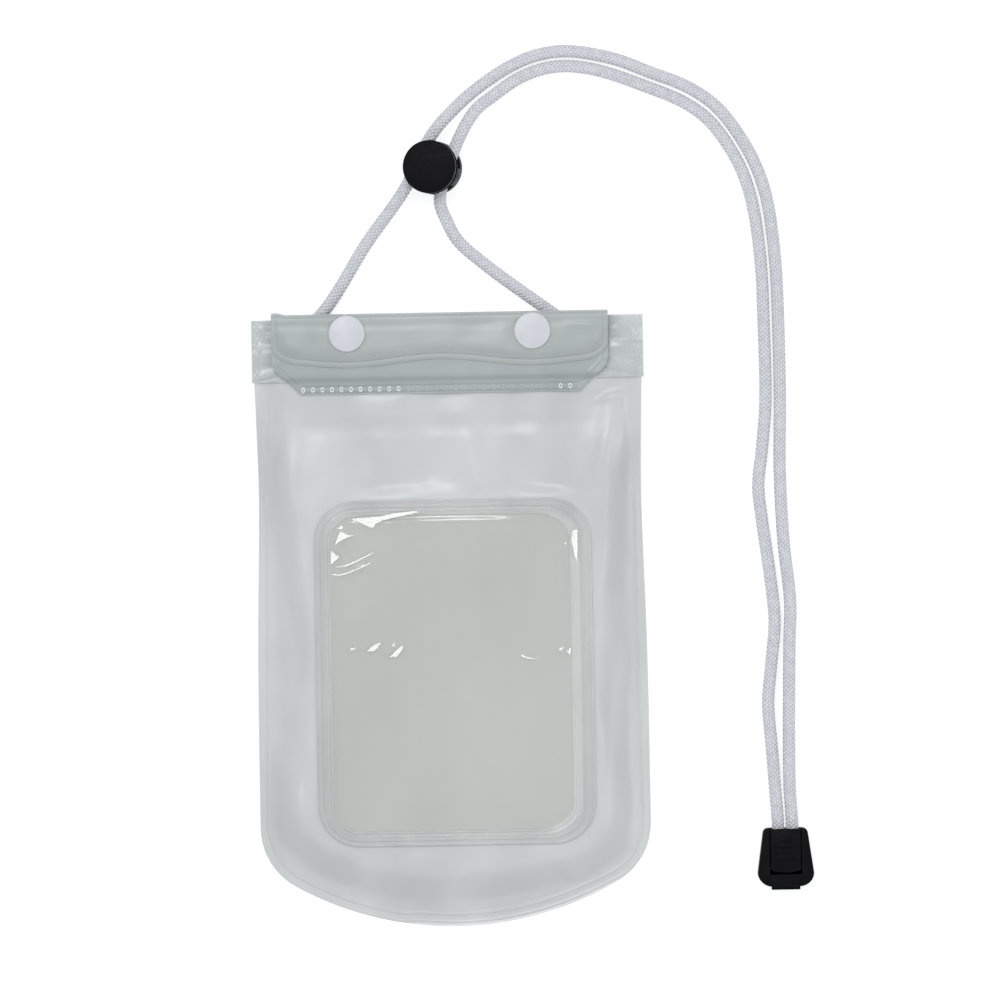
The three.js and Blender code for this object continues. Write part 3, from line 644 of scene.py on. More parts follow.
@dataclass
class Studio:
    """The photograph's stage: a camera straight above, soft lamps and a pale floor."""

    centre: tuple[float, float] = (14.7, 34.7)
    view_width: float = 294.1
    lens: float = 300.0
    sensor: float = 36.0
    roll: float = -1.0
    plane: float = 5.0
    floor_size: float = 4.0
    floor_colour: str = "#95989A"
    floor_glow: float = 0.8
    floor_bounce: str = "#E4E6E8"
    world_colour: str = "#F4F6F8"
    world_strength: float = 0.685
    key: tuple[float, float, float] = (-0.18, 0.42, 1.25)

    def camera(self) -> None:
        """Puts the camera straight above the photograph's centre."""
        data = bpy.data.cameras.new("camera")
        data.lens = self.lens
        data.sensor_width = self.sensor
        data.clip_start = 0.05
        data.clip_end = 30.0
        eye = bpy.data.objects.new("camera", data)
        distance = self.view_width * MM * self.lens / self.sensor
        eye.location = (self.centre[0] * MM, self.centre[1] * MM, distance + self.plane * MM)
        eye.rotation_euler = (0.0, 0.0, math.radians(self.roll))
        bpy.context.collection.objects.link(eye)
        bpy.context.scene.camera = eye

    def lamp(self, name: str, place: Sequence[float], size: tuple[float, float], power: float) -> None:
        """Adds one rectangular soft lamp that points at the origin.

        Args:
            name: The lamp's name.
            place: Where it hangs, in metres.
            size: Its width and height in metres.
            power: Its power in watts.
        """
        data = bpy.data.lights.new(name, "AREA")
        data.shape = "RECTANGLE"
        data.size, data.size_y = size
        data.energy = power
        lamp = bpy.data.objects.new(name, data)
        lamp.location = place
        direction = Vector(ORIGIN) - Vector(place)
        lamp.rotation_euler = direction.to_track_quat("-Z", "Y").to_euler()
        bpy.context.collection.objects.link(lamp)

    def lamps(self) -> None:
        """Hangs a large soft lamp, a narrow key and two fills."""
        self.lamp("soft_box", (-0.55, 0.75, 1.25), (0.9, 0.6), 4.2)
        self.lamp("strip", self.key, (0.5, 0.12), 3.4)
        self.lamp("fill", (0.95, -0.2, 1.0), (0.7, 0.7), 2.5)
        self.lamp("low_fill", (0.25, -0.95, 0.95), (0.8, 0.5), 1.1)

    def world(self) -> None:
        """Gives an even pale surround, white where the camera sees it."""
        world = bpy.data.worlds.new("surround")
        world.use_nodes = True
        tree = world.node_tree
        tree.nodes.clear()
        path = add_node(tree, "ShaderNodeLightPath")
        soft = add_node(tree, "ShaderNodeBackground",
                        values={"Color": linear(self.world_colour), "Strength": self.world_strength})
        white = add_node(tree, "ShaderNodeBackground", values={"Color": WHITE, "Strength": 1.0})
        mixed = add_node(tree, "ShaderNodeMixShader",
                         links={0: path.outputs["Is Camera Ray"], 1: soft.outputs[0], 2: white.outputs[0]})
        add_node(tree, "ShaderNodeOutputWorld", links={"Surface": mixed.outputs[0]})
        bpy.context.scene.world = world

    def floor(self) -> None:
        """Lays a pale floor that shows white and keeps a soft shadow."""
        half = self.floor_size / 2 / MM
        corners = [(-half, -half, 0), (half, -half, 0), (half, half, 0), (-half, half, 0)]
        piece = mesh_object("floor", np.array(corners), [(0, 1, 2, 3)], False)
        material = bpy.data.materials.new("white_table_coated")
        material.use_nodes = True
        tree = material.node_tree
        tree.nodes.clear()
        path = add_node(tree, "ShaderNodeLightPath")
        direct = add_node(tree, "ShaderNodeMath", {"operation": "MAXIMUM"},
                          links={0: path.outputs["Is Camera Ray"], 1: path.outputs["Is Transmission Ray"]})
        seen = add_node(tree, "ShaderNodeMath", {"operation": "MAXIMUM"},
                        links={0: direct.outputs[0], 1: path.outputs["Is Glossy Ray"]})
        paint = add_node(tree, "ShaderNodeBsdfDiffuse", values={"Color": linear(self.floor_colour)})
        plain = add_node(tree, "ShaderNodeBsdfDiffuse", values={"Color": linear(self.floor_bounce)})
        glow = add_node(tree, "ShaderNodeEmission", values={"Color": WHITE, "Strength": self.floor_glow})
        shown = add_node(tree, "ShaderNodeAddShader", links={0: paint.outputs[0], 1: glow.outputs[0]})
        mixed = add_node(tree, "ShaderNodeMixShader",
                         links={0: seen.outputs[0], 1: plain.outputs[0], 2: shown.outputs[0]})
        add_node(tree, "ShaderNodeOutputMaterial", links={"Surface": mixed.outputs[0]})
        piece.data.materials.append(material)

    def build(self) -> None:
        """Makes the whole stage and sets the plain colour view."""
        self.camera()
        self.lamps()
        self.world()
        self.floor()
        bpy.context.scene.view_settings.view_transform = "Standard"


# Neck cord


CORD_ROUTE = (
    (94.8, -73.2, 3.2), (94.8, -61.5, 3.2), (94.2, -52.0, 2.8), (93.4, -39.0, 2.3), (92.6, -26.5, 2.2),
    (93.7, -15.0, 2.1), (94.9, -2.5, 2.0), (93.8, 11.0, 2.0), (91.7, 27.5, 2.0), (90.8, 37.5, 2.0),
    (92.0, 48.0, 2.0), (93.3, 62.0, 2.0), (93.2, 85.0, 2.0), (92.6, 104.0, 2.0), (90.3, 121.6, 2.0),
    (87.0, 131.8, 2.0), (80.9, 142.1, 2.0), (76.0, 147.4, 2.0), (69.5, 151.6, 2.0), (59.3, 155.9, 2.0),
    (48.8, 159.8, 2.1), (42.0, 161.5, 2.2), (35.4, 162.1, 2.3), (28.9, 161.2, 2.7), (22.2, 158.6, 3.4),
    (15.2, 153.9, 4.7), (9.2, 149.0, 6.4), (3.5, 138.9, 8.6), (-1.4, 123.2, 7.8), (0.4, 117.2, 5.6),
    (3.6, 111.3, 3.9), (11.7, 104.0, 2.5), (31.0, 89.6, 2.0), (46.9, 78.1, 2.0), (49.0, 72.3, 2.0),
    (46.9, 66.5, 2.2), (41.6, 63.4, 2.6), (30.0, 63.3, 2.6), (-34.0, 63.3, 2.6), (-46.2, 63.4, 2.6),
    (-51.5, 66.5, 2.2), (-53.6, 72.3, 2.0), (-51.5, 78.1, 2.0), (-36.7, 90.6, 2.0), (-23.2, 111.0, 2.6),
    (-11.7, 126.6, 6.4), (-3.7, 142.0, 7.5), (2.9, 149.6, 6.0), (10.6, 156.3, 4.2), (20.1, 162.4, 2.9),
    (27.6, 165.4, 2.4), (36.5, 166.5, 2.2), (50.2, 164.1, 2.0), (60.8, 160.0, 2.0), (71.6, 155.6, 2.0),
    (79.1, 150.6, 2.0), (84.3, 144.8, 2.0), (90.9, 133.7, 2.0), (94.6, 122.7, 2.0), (96.9, 104.0, 2.0),
    (97.5, 85.0, 2.0), (97.6, 62.0, 2.0), (97.2, 43.0, 2.0), (97.9, 22.0, 2.0), (99.6, 3.0, 2.1),
    (99.2, -8.0, 2.1), (98.8, -24.0, 2.2), (98.5, -39.0, 2.3), (98.5, -52.0, 2.8), (98.95, -61.5, 3.2),
    (98.95, -73.2, 3.2),
)


def centripetal(points: Array, steps: int) -> Array:
    """Follows a centripetal spline through points, as the solid's own curve does.

    Args:
        points: The points that it passes.
        steps: Samples between two of them.

    Returns:
        The samples in order.
    """
    ends = np.concatenate(([2 * points[0] - points[1]], points, [2 * points[-1] - points[-2]]))
    samples = []
    for p0, p1, p2, p3 in zip(ends, ends[1:], ends[2:], ends[3:]):
        d0, d1, d2 = (np.linalg.norm(b - a) ** 0.5 for a, b in ((p0, p1), (p1, p2), (p2, p3)))
        leave = ((p1 - p0) / d0 - (p2 - p0) / (d0 + d1) + (p2 - p1) / d1) * d1
        arrive = ((p2 - p1) / d1 - (p3 - p1) / (d1 + d2) + (p3 - p2) / d2) * d1
        t = np.linspace(0, 1, steps, endpoint=False)[:, None]
        samples.append(p1 + leave * t + (3 * (p2 - p1) - 2 * leave - arrive) * t ** 2
                       + (2 * (p1 - p2) + leave + arrive) * t ** 3)
    return np.concatenate(samples + [points[-1:]])


def even_samples(line: Array, pitch: float) -> Array:
    """Samples a line again at an even pitch."""
    lengths = np.concatenate(([0.0], np.cumsum(np.linalg.norm(np.diff(line, axis=0), axis=1))))
    places = np.linspace(0, lengths[-1], int(round(lengths[-1] / pitch)) + 1)
    return np.stack([np.interp(places, lengths, line[:, k]) for k in range(3)], axis=-1)


def frames_along(line: Array) -> tuple[Array, Array, Array]:
    """Carries a frame along a line without twist.

    Args:
        line: Points of the line.

    Returns:
        The direction, the side and the upward vector at each point.
    """
    ahead = np.gradient(line, axis=0)
    ahead /= np.linalg.norm(ahead, axis=1)[:, None]
    up = np.zeros_like(line)
    current = np.array([0.0, 0.0, 1.0])
    for i, direction in enumerate(ahead):
        current = current - direction * np.dot(current, direction)
        current /= np.linalg.norm(current)
        up[i] = current
    return ahead, np.cross(ahead, up), up


def new_group(name: str, inputs: Sequence[tuple[str, str]]) -> tuple[Tree, Node]:
    """Makes a Geometry Nodes tree with named inputs and one geometry output.

    Args:
        name: The tree's name.
        inputs: Name and kind of each input.

    Returns:
        The tree and its input node.
    """
    tree = bpy.data.node_groups.new(name, "GeometryNodeTree")
    for label, kind in inputs:
        tree.interface.new_socket(label, in_out="INPUT", socket_type=f"NodeSocket{kind}")
    tree.interface.new_socket("Result", in_out="OUTPUT", socket_type="NodeSocketGeometry")
    return tree, add_node(tree, "NodeGroupInput")


def end_group(tree: Tree, laid: Node, material: Material) -> Tree:
    """Makes a tree's instances real, smooth and of one material, and joins them to its output."""
    real = add_node(tree, "GeometryNodeRealizeInstances", links={0: laid.outputs[0]})
    soft = add_node(tree, "GeometryNodeSetShadeSmooth", links={0: real.outputs[0]})
    done = add_node(tree, "GeometryNodeSetMaterial", values={"Material": material},
                    links={0: soft.outputs[0]})
    add_node(tree, "NodeGroupOutput", links={0: done.outputs[0]})
    return tree


def grain_group(material: Material) -> Tree:
    """Builds the Geometry Nodes tree that lays one yarn grain on each point of a guide.

    Args:
        material: The yarn's material.

    Returns:
        The tree. Its inputs are the grain's length, width and height in metres.
    """
    sizes = ("Grain Length", "Grain Width", "Grain Height")
    tree, entry = new_group("braid_grains", [("Guide", "Geometry"), *((label, "Float") for label in sizes)])
    turn = add_node(tree, "GeometryNodeInputNamedAttribute", {"data_type": "FLOAT_VECTOR"}, {"Name": "turn"})
    size = add_node(tree, "ShaderNodeCombineXYZ", links={i: entry.outputs[s] for i, s in enumerate(sizes)})
    grain = add_node(tree, "GeometryNodeMeshIcoSphere", values={"Radius": 0.5, "Subdivisions": 1})
    laid = add_node(tree, "GeometryNodeInstanceOnPoints", links={
        "Points": entry.outputs["Guide"], "Instance": grain.outputs["Mesh"],
        "Rotation": turn.outputs["Attribute"], "Scale": size.outputs[0]})
    return end_group(tree, laid, material)


def run_nodes(piece: Piece, tree: Tree, values: dict) -> None:
    """Runs a Geometry Nodes tree on a piece and keeps the plain result.

    Args:
        piece: The piece that carries the guide.
        tree: The tree.
        values: Input values by socket name.
    """
    modifier = piece.modifiers.new("repeat", "NODES")
    modifier.node_group = tree
    for item in tree.interface.items_tree:
        if item.item_type == "SOCKET" and item.in_out == "INPUT" and item.name in values:
            modifier[item.identifier] = values[item.name]
    apply_modifiers(piece)


@dataclass
class NeckCord:
    """The hollow braided cord: out of the clip, through the lock, behind the pouch and back."""

    diameter: float = 3.8
    core_radius: float = 1.74
    core_sides: int = 10
    core_pitch: float = 2.4
    grain_ring: float = 1.7
    grains_round: int = 14
    grain_pitch: float = 1.25
    grain_length: float = 1.6
    grain_width: float = 0.86
    grain_height: float = 0.32
    lean: float = 33.0

    def line(self, pitch: float) -> Array:
        """Returns the cord's middle line at an even pitch."""
        return even_samples(centripetal(np.array(CORD_ROUTE), 60), pitch)

    def core(self) -> Piece:
        """Makes the inside of the braid, which shows in its gaps."""
        line = self.line(self.core_pitch)
        _, side, up = frames_along(line)
        cosines, sines = circle(self.core_sides)
        out = cosines[:, None] * side[:, None] + sines[:, None] * up[:, None]
        return loft_mesh("neck_cord_core", line[:, None] + self.core_radius * out)

    def grains(self, material: Material) -> Piece:
        """Lays the yarns' visible grains in a herringbone round the cord."""
        line = self.line(self.grain_pitch)
        ahead, side, up = frames_along(line)
        cosines, sines = circle(self.grains_round)
        out = cosines[:, None] * side[:, None] + sines[:, None] * up[:, None]
        odd = (np.arange(self.grains_round) % 2)[:, None]
        places = line[:, None] + out * self.grain_ring + ahead[:, None] * odd * 0.5 * self.grain_pitch
        round_way = np.cross(out, ahead[:, None])
        lean = math.radians(self.lean) * (1 - 2 * odd)
        along = (ahead[:, None] * np.cos(lean) + round_way * np.sin(lean)).reshape(-1, 3)
        out = out.reshape(-1, 3)
        across = np.cross(out, along)
        turns = [Matrix((a, c, o)).transposed().to_euler() for a, c, o in zip(along, across, out)]
        piece = mesh_object("neck_cord_grains", places.reshape(-1, 3), [])
        stored = piece.data.attributes.new("turn", "FLOAT_VECTOR", "POINT")
        stored.data.foreach_set("vector", np.array([tuple(t) for t in turns]).ravel())
        run_nodes(piece, grain_group(material), {
            "Grain Length": self.grain_length * MM, "Grain Width": self.grain_width * MM,
            "Grain Height": self.grain_height * MM})
        return piece

    def build(self, palette: Palette) -> Piece:
        """Makes the cord as one piece of two finishes: yarn grains on an inside painted greyer as the shade
        in their gaps.
        """
        grains = self.grains(palette.braid)
        core = self.core()
        count_core = len(core.data.polygons)
        cord = join("neck_cord_braid", [core, grains])
        dress(cord, palette.braid, Slot.BRAID, "neck_cord")
        # The inside's greyer finish is painted shade in the gaps between the grains.
        cord.data.materials.append(palette.core)
        numbers = np.zeros(len(cord.data.polygons), dtype=np.int32)
        numbers[:count_core] = 1
        cord.data.polygons.foreach_set("material_index", numbers)
        cord.data.polygons.foreach_set("use_smooth", [True] * len(cord.data.polygons))
        return cord


# Pouch


@dataclass(frozen=True)
class PouchShape:
    """Sizes that the sheets share with the solids, in millimetres."""

    film: float = 0.4
    bottom_y: float = -90.6
    bottom_radius: float = 96.0
    corner_radius: float = 20.0
    half_width: float = 57.5
    waist: float = 1.2
    waist_y: float = 40.0
    weld_width: float = 2.5
    puff_reach: float = 14.0
    raised: float = 5.6
    raise_start: float = 36.5
    raise_end: float = 56.5
    level: float = 7.2
    window_x: float = 0.6
    window_y: float = -15.8
    window_width: float = 81.5
    window_height: float = 101.5
    window_corner: float = 12.0
    window_rim: float = 4.0
    zip_bottom: float = 70.3
    zip_top: float = 88.6
    panel_top: float = 73.3
    flap_x: float = -2.2
    flap_half: float = 49.4
    rays: int = 360

    def side_x(self, y: Array) -> Array:
        """Returns the half width of the sheets at a height."""
        from_waist = (y - self.waist_y) / (self.waist_y - self.bottom_y)
        return self.half_width - self.waist * np.exp(-12 * from_waist ** 2)

    def outline(self) -> Array:
        """Returns the sheets' outline as a closed line of points."""
        arc_y = self.bottom_y + self.bottom_radius
        corner_x = self.half_width - self.corner_radius
        corner_y = arc_y - math.sqrt((self.bottom_radius - self.corner_radius) ** 2 - corner_x ** 2)
        meet = math.atan2(corner_y - arc_y, corner_x)
        big = np.linspace(-math.pi / 2, meet, 60)
        small = np.linspace(meet, 0, 24)[1:]
        y = np.linspace(corner_y, self.panel_top, 60)[1:]
        large, little = self.bottom_radius, self.corner_radius
        right = np.concatenate((points(large * np.cos(big), arc_y + large * np.sin(big)),
                                points(corner_x + little * np.cos(small), corner_y + little * np.sin(small)),
                                points(self.side_x(y), y)))
        left = right[1:][::-1] * (-1, 1)
        return np.concatenate((right, left))

    def window(self, inset: float) -> Array:
        """Returns the window's rounded outline, moved inwards by a distance."""
        radius = self.window_corner - inset
        x = self.window_width / 2 - self.window_corner
        y = self.window_height / 2 - self.window_corner
        quarter = np.linspace(0, math.pi / 2, 16)
        corners = []
        for i, (sx, sy) in enumerate(((1, -1), (1, 1), (-1, 1), (-1, -1))):
            angle = quarter + (i - 1) * math.pi / 2
            corners.append(points(self.window_x + sx * x + radius * np.cos(angle),
                                  self.window_y + sy * y + radius * np.sin(angle)))
        return np.concatenate(corners)

    def angles(self) -> Array:
        """Returns the directions of the rays from the window's middle; some meet the sheets' corners."""
        even = np.linspace(-math.pi, math.pi, self.rays, endpoint=False)
        for y in (self.panel_top, self.zip_bottom - 1, self.raise_end, self.raise_start):
            for side in (-1, 1):
                key = math.atan2(y - self.window_y, side * float(self.side_x(np.array(y))) - self.window_x)
                even[np.argmin(np.abs(even - key))] = key
        return np.sort(even)

    def reach(self, outline: Array, angles: Array) -> Array:
        """Measures how far each ray goes before it leaves an outline.

        Args:
            outline: A closed line of points.
            angles: The rays' directions.

        Returns:
            One length for each ray.
        """
        a = outline - (self.window_x, self.window_y)
        edge = np.roll(a, -1, axis=0) - a
        dx, dy = np.cos(angles)[:, None], np.sin(angles)[:, None]
        across = dx * edge[:, 1] - dy * edge[:, 0]
        across = np.where(np.abs(across) < 1e-9, 1e-9, across)
        distance = (a[:, 0] * edge[:, 1] - a[:, 1] * edge[:, 0]) / across
        along = (a[:, 0] * dy - a[:, 1] * dx) / across
        hit = (distance > 0) & (along >= -1e-6) & (along <= 1 + 1e-6)
        return np.where(hit, distance, 0).max(axis=1)

    def at(self, reach: Array, angles: Array) -> tuple[Array, Array]:
        """Returns the points at a length along each ray."""
        return self.window_x + reach * np.cos(angles), self.window_y + reach * np.sin(angles)

    def back_lift(self, y: Array) -> Array:
        """Returns how high the back sheet lies."""
        return self.raised * smooth((y - self.raise_start) / (self.raise_end - self.raise_start))

    def front_under(self, y: Array, from_edge: Array) -> Array:
        """Returns the front sheet's underside: low at its weld, full in the middle and at the mouth."""
        mouth = smooth((y - self.raise_start) / (self.zip_bottom - self.raise_start))
        low = self.back_lift(y) + self.film + 0.02
        border = low + (self.level - low) * mouth ** 3
        return border + (self.level - border) * smooth((from_edge - self.weld_width) / self.puff_reach)


def ripples(x: Array, y: Array, seed: int, waves: Sequence[tuple[float, float]]) -> Array:
    """Adds up soft waves in seeded directions.

    Args:
        x: Across the pouch.
        y: Along the pouch.
        seed: Seed of the directions.
        waves: The wavelength and the height of each wave, in millimetres.

    Returns:
        The height at each point.
    """
    random = np.random.default_rng(seed)
    total = np.zeros_like(x)
    for length, height in waves:
        turn, phase, bend = random.uniform(0, 2 * np.pi, 3)
        along = x * math.cos(turn) + y * math.sin(turn)
        across = -x * math.sin(turn) + y * math.cos(turn)
        bent = WAVE_BEND * np.sin(2 * np.pi * across / (WAVE_BEND_LENGTH * length) + bend)
        total += height * np.sin(2 * np.pi * along / length + phase + bent)
    return total


def folds(x: Array, y: Array, lines: Sequence[Sequence[float]]) -> Array:
    """Adds up folds, each a ridge along a line that fades at both ends.

    Args:
        x: Across the pouch.
        y: Along the pouch.
        lines: x0, y0, x1, y1, half width and height of each fold.

    Returns:
        The height at each point.
    """
    total = np.zeros_like(x)
    for *ends, half, height in lines:
        across, along = segment_distance(x, y, ends)
        fade = smooth((along + FOLD_OVERRUN) / FOLD_FADE) * smooth((1 + FOLD_OVERRUN - along) / FOLD_FADE)
        total += height * fade * bump(across, 0.0, half)
    return total


@dataclass
class Sheets:
    """The two frosted sheets, welded along their edge and round the windows."""

    shape: PouchShape = PouchShape()
    edge_rings: tuple[float, ...] = (0.0, 0.12, 0.3, 0.55, 0.8, 1.05, 1.35, 1.65, 1.95, 2.2, 2.45, 2.7, 3.0,
                                     3.4, 4.0)
    middle_rings: int = 46
    rim_rings: int = 8
    right_gap: float = 0.9
    seeds: tuple[int, int] = (7, 19)
    wave_drop: float = 0.25
    calm_edge: tuple[float, float] = (2.2, 5.0)
    calm_rim: tuple[float, float] = (0.3, 5.0)
    calm_strip: tuple[float, float] = (1.5, 4.0)
    full_reach: tuple[float, float] = (8.0, 14.0)
    ridges_end: tuple[float, float] = (42.0, 8.0)
    back_wave: tuple[float, float] = (0.5, 0.15)
    back_round: float = 0.02
    back_fade: float = 6.0
    edge_ridges: Lines = ((2.7, 0.5, 0.38), (0.45, 0.4, 0.2))
    waves: Lines = ((46, 0.3), (31, 0.28), (23, 0.24), (38, 0.22), (17, 0.13), (12, 0.06))
    creases: Lines = (
        (48.5, 68.5, 44.0, 40.0, 3.6, 1.0), (56.0, 66.5, 44.5, 63.5, 1.6, 0.75),
        (53.5, 62.0, 53.0, 38.0, 2.4, -0.6), (50.5, 60.0, 49.0, 30.0, 2.2, 0.35),
        (-55.0, 60.0, -54.0, 37.0, 2.4, 0.55), (-50.0, 62.0, -53.0, 44.0, 3.5, -0.4),
        (-44.0, 60.0, -50.0, 30.0, 4.5, 0.45), (-20.0, 56.0, -24.0, 38.0, 4.0, 0.4),
        (-8.0, 55.0, -6.0, 39.0, 3.4, -0.3), (6.0, 56.0, 9.0, 38.0, 4.2, 0.4),
        (22.0, 57.0, 30.0, 40.0, 4.6, 0.45), (36.0, 54.0, 43.0, 36.0, 3.0, -0.3),
        (49.0, 30.0, 44.5, 4.0, 3.6, 0.4), (-52.0, 20.0, -48.0, -16.0, 3.2, 0.35),
        (51.0, -12.0, 47.0, -48.0, 3.6, 0.35), (-50.0, -40.0, -44.0, -66.0, 3.4, 0.35),
        (-20.0, -72.0, -34.0, -84.0, 4.0, 0.35), (8.0, -70.0, 6.0, -86.0, 4.4, 0.35),
        (28.0, -71.0, 40.0, -80.0, 3.6, 0.35), (-44.0, 56.4, 42.0, 57.6, 3.8, -0.3))

    def rings(self, stop_short: float) -> tuple[Array, Array, Array, Array]:
        """Lays the rings of points of a sheet, from its edge to its window cut-out.

        Args:
            stop_short: How far the front sheet's lower right edge stays inside the back sheet's.

        Returns:
            x, y, the distance from the outer edge and the distance from the window's rim.
        """
        shape = self.shape
        angles = shape.angles()
        outer = shape.reach(shape.outline(), angles)
        x, y = shape.at(outer, angles)
        outer = outer - stop_short * smooth((x + 18) / 8) * smooth((-70 - y) / 14)
        rim = shape.reach(shape.window(0.0), angles)
        rows = [outer - d for d in self.edge_rings]
        start = rows[-1]
        rows += [start + (rim - start) * t for t in np.linspace(0, 1, self.middle_rings + 1)[1:]]
        insets = np.linspace(0, shape.window_rim, self.rim_rings + 1)[1:]
        rows += [shape.reach(shape.window(d), angles) for d in insets]
        reach = np.stack(rows)
        x, y = shape.at(reach, angles)
        return x, y, outer - reach, reach - rim

    def calm(self, y: Array, from_edge: Array, from_rim: Array) -> Array:
        """Returns how free the sheet is to wrinkle: 0 at its welds and under the strip."""
        below_strip = self.shape.zip_bottom - y
        return math.prod(smooth((distance - start) / reach) for distance, (start, reach) in (
            (from_edge, self.calm_edge), (from_rim, self.calm_rim), (below_strip, self.calm_strip)))

    def front(self, material: Material) -> Piece:
        """Makes the front sheet, which rises from its weld and wrinkles."""
        shape = self.shape
        x, y, from_edge, from_rim = self.rings(self.right_gap)
        near, full = self.full_reach
        inward = np.where(from_rim < near, np.maximum(from_edge, full - from_rim), from_edge)
        free = self.calm(y, from_edge, from_rim)
        waves = ripples(x, y, self.seeds[0], self.waves)
        relief = free * (waves + folds(x, y, self.creases) - self.wave_drop)
        end, fade = self.ridges_end
        shown = smooth((end - y) / fade)
        under = shape.front_under(y, inward) + relief
        top = under + shape.film + shown * ridges(from_edge, self.edge_ridges)
        piece = band_mesh("front_sheet", points(x, y, top), points(x, y, under), False)
        return dress(piece, material, Slot.FROSTED, "front_panel")

    def back(self, material: Material) -> Piece:
        """Makes the back sheet, flat on the table and raised behind the mouth."""
        shape = self.shape
        x, y, from_edge, from_rim = self.rings(0.0)
        free = self.calm(y, from_edge, from_rim)
        lift = shape.back_lift(y)
        share, lifted = self.back_wave
        rise = ripples(x, y, self.seeds[1], self.waves) * share + lifted
        relief = free * (rise + np.sqrt(rise * rise + self.back_round)) / 2
        away = smooth((shape.raise_start - y) / self.back_fade)
        under = lift + relief * away
        top = under + shape.film
        piece = band_mesh("back_sheet", points(x, y, top), points(x, y, under), False)
        return dress(piece, material, Slot.FROSTED, "back_panel")


@dataclass
class Windows:
    """The clear films, each with a whitened weld and its ridges round it."""

    shape: PouchShape = PouchShape()
    rim_step: float = 0.14
    rim_depth: float = 7.0
    rim_width: float = 4.2
    side_stretch: tuple[float, float] = (0.05, 0.5)
    middle_rings: int = 60
    side_start: float = 27.0
    side_fade: float = 10.0
    rim_fade: float = 2.2
    crease_start: tuple[float, float] = (4.4, 0.8)
    middle_start: float = 0.02
    rim_ridges: Lines = ((0.4, 0.34, 0.24), (1.8, 0.42, 0.36), (2.9, 0.36, 0.2), (4.0, 0.4, 0.38))
    waves: Lines = ((60, 0.16), (41, 0.13), (27, 0.07), (15, 0.02))
    creases: Lines = (
        (-33.5, 27.5, -26.5, 23.0, 1.3, 0.42), (-34.5, 19.5, -29.0, 24.5, 1.1, 0.34),
        (-34.5, 16.0, -23.0, 14.5, 0.8, 0.3), (-34.0, 12.5, -22.0, 16.5, 0.9, 0.3),
        (-29.0, 28.6, -10.0, 29.2, 1.0, 0.34), (-25.0, 26.5, -16.0, 28.4, 1.2, 0.36),
        (-30.5, -9.5, -27.5, -8.2, 0.8, 0.28), (-24.5, -9.5, -20.5, -7.0, 1.1, 0.34),
        (-19.5, -11.0, -16.5, -7.0, 1.1, 0.34), (20.0, -11.2, 25.0, -12.2, 0.7, 0.28),
        (31.0, -10.5, 34.5, -9.0, 1.2, 0.34), (33.0, 26.0, 34.4, 6.0, 1.1, 0.26),
        (-14.0, 27.0, 0.0, 16.0, 0.9, 0.12), (0.0, 18.0, 8.0, 26.0, 0.9, 0.1),
        (-2.0, -22.0, 12.0, -28.0, 1.3, 0.12), (4.0, -30.0, 10.0, -44.0, 1.2, 0.12),
        (-2.0, -40.0, 6.0, -52.0, 1.0, 0.1), (10.0, -24.0, 16.0, -33.0, 1.0, 0.1))

    def build(self, name: str, node: str, low: float, seed: int, palette: Palette) -> Piece:
        """Makes one window.

        Args:
            name: The piece's name.
            node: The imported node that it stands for.
            low: Height of the film's underside.
            seed: Seed of its waves.
            palette: The finishes: the film's, and its rim's.

        Returns:
            The window.
        """
        shape = self.shape
        angles = shape.angles()
        insets = np.arange(0.0, self.rim_depth + 1e-6, self.rim_step)
        rows = [shape.reach(shape.window(d), angles) for d in insets]
        inner = rows[-1]
        rows += [inner * t for t in np.linspace(1, self.middle_start, self.middle_rings + 1)[1:]]
        reach = np.stack(rows)
        x, y = shape.at(reach, angles)
        inset = np.concatenate((insets[:, None] + 0 * angles, self.rim_depth + inner - reach[len(insets):]))
        edge_x, _ = shape.at(rows[0], angles)
        offset = edge_x - shape.window_x
        stretch = np.where(offset < 0, *self.side_stretch)
        inset = inset / (1 + stretch * smooth((np.abs(offset) - self.side_start) / self.side_fade))
        free = smooth((inset - self.rim_width) / self.rim_fade)
        start, reach_in = self.crease_start
        creased = folds(x, y, self.creases) * smooth((inset - start) / reach_in)
        relief = free * (ripples(x, y, seed, self.waves) + creased)
        under = low + relief
        top = under + shape.film + ridges(inset, self.rim_ridges)
        piece = band_mesh(name, points(x, y, top), points(x, y, under), True)
        dress(piece, palette.clear, Slot.CLEAR, node)
        piece.data.materials.append(palette.rim)
        narrow = np.append(np.tile(inset.ravel() < self.rim_width + 0.1, 2), (False, False))
        welded = [all(narrow[v] for v in face.vertices) for face in piece.data.polygons]
        piece.data.polygons.foreach_set("material_index", np.array(welded, dtype=np.int32))
        return piece


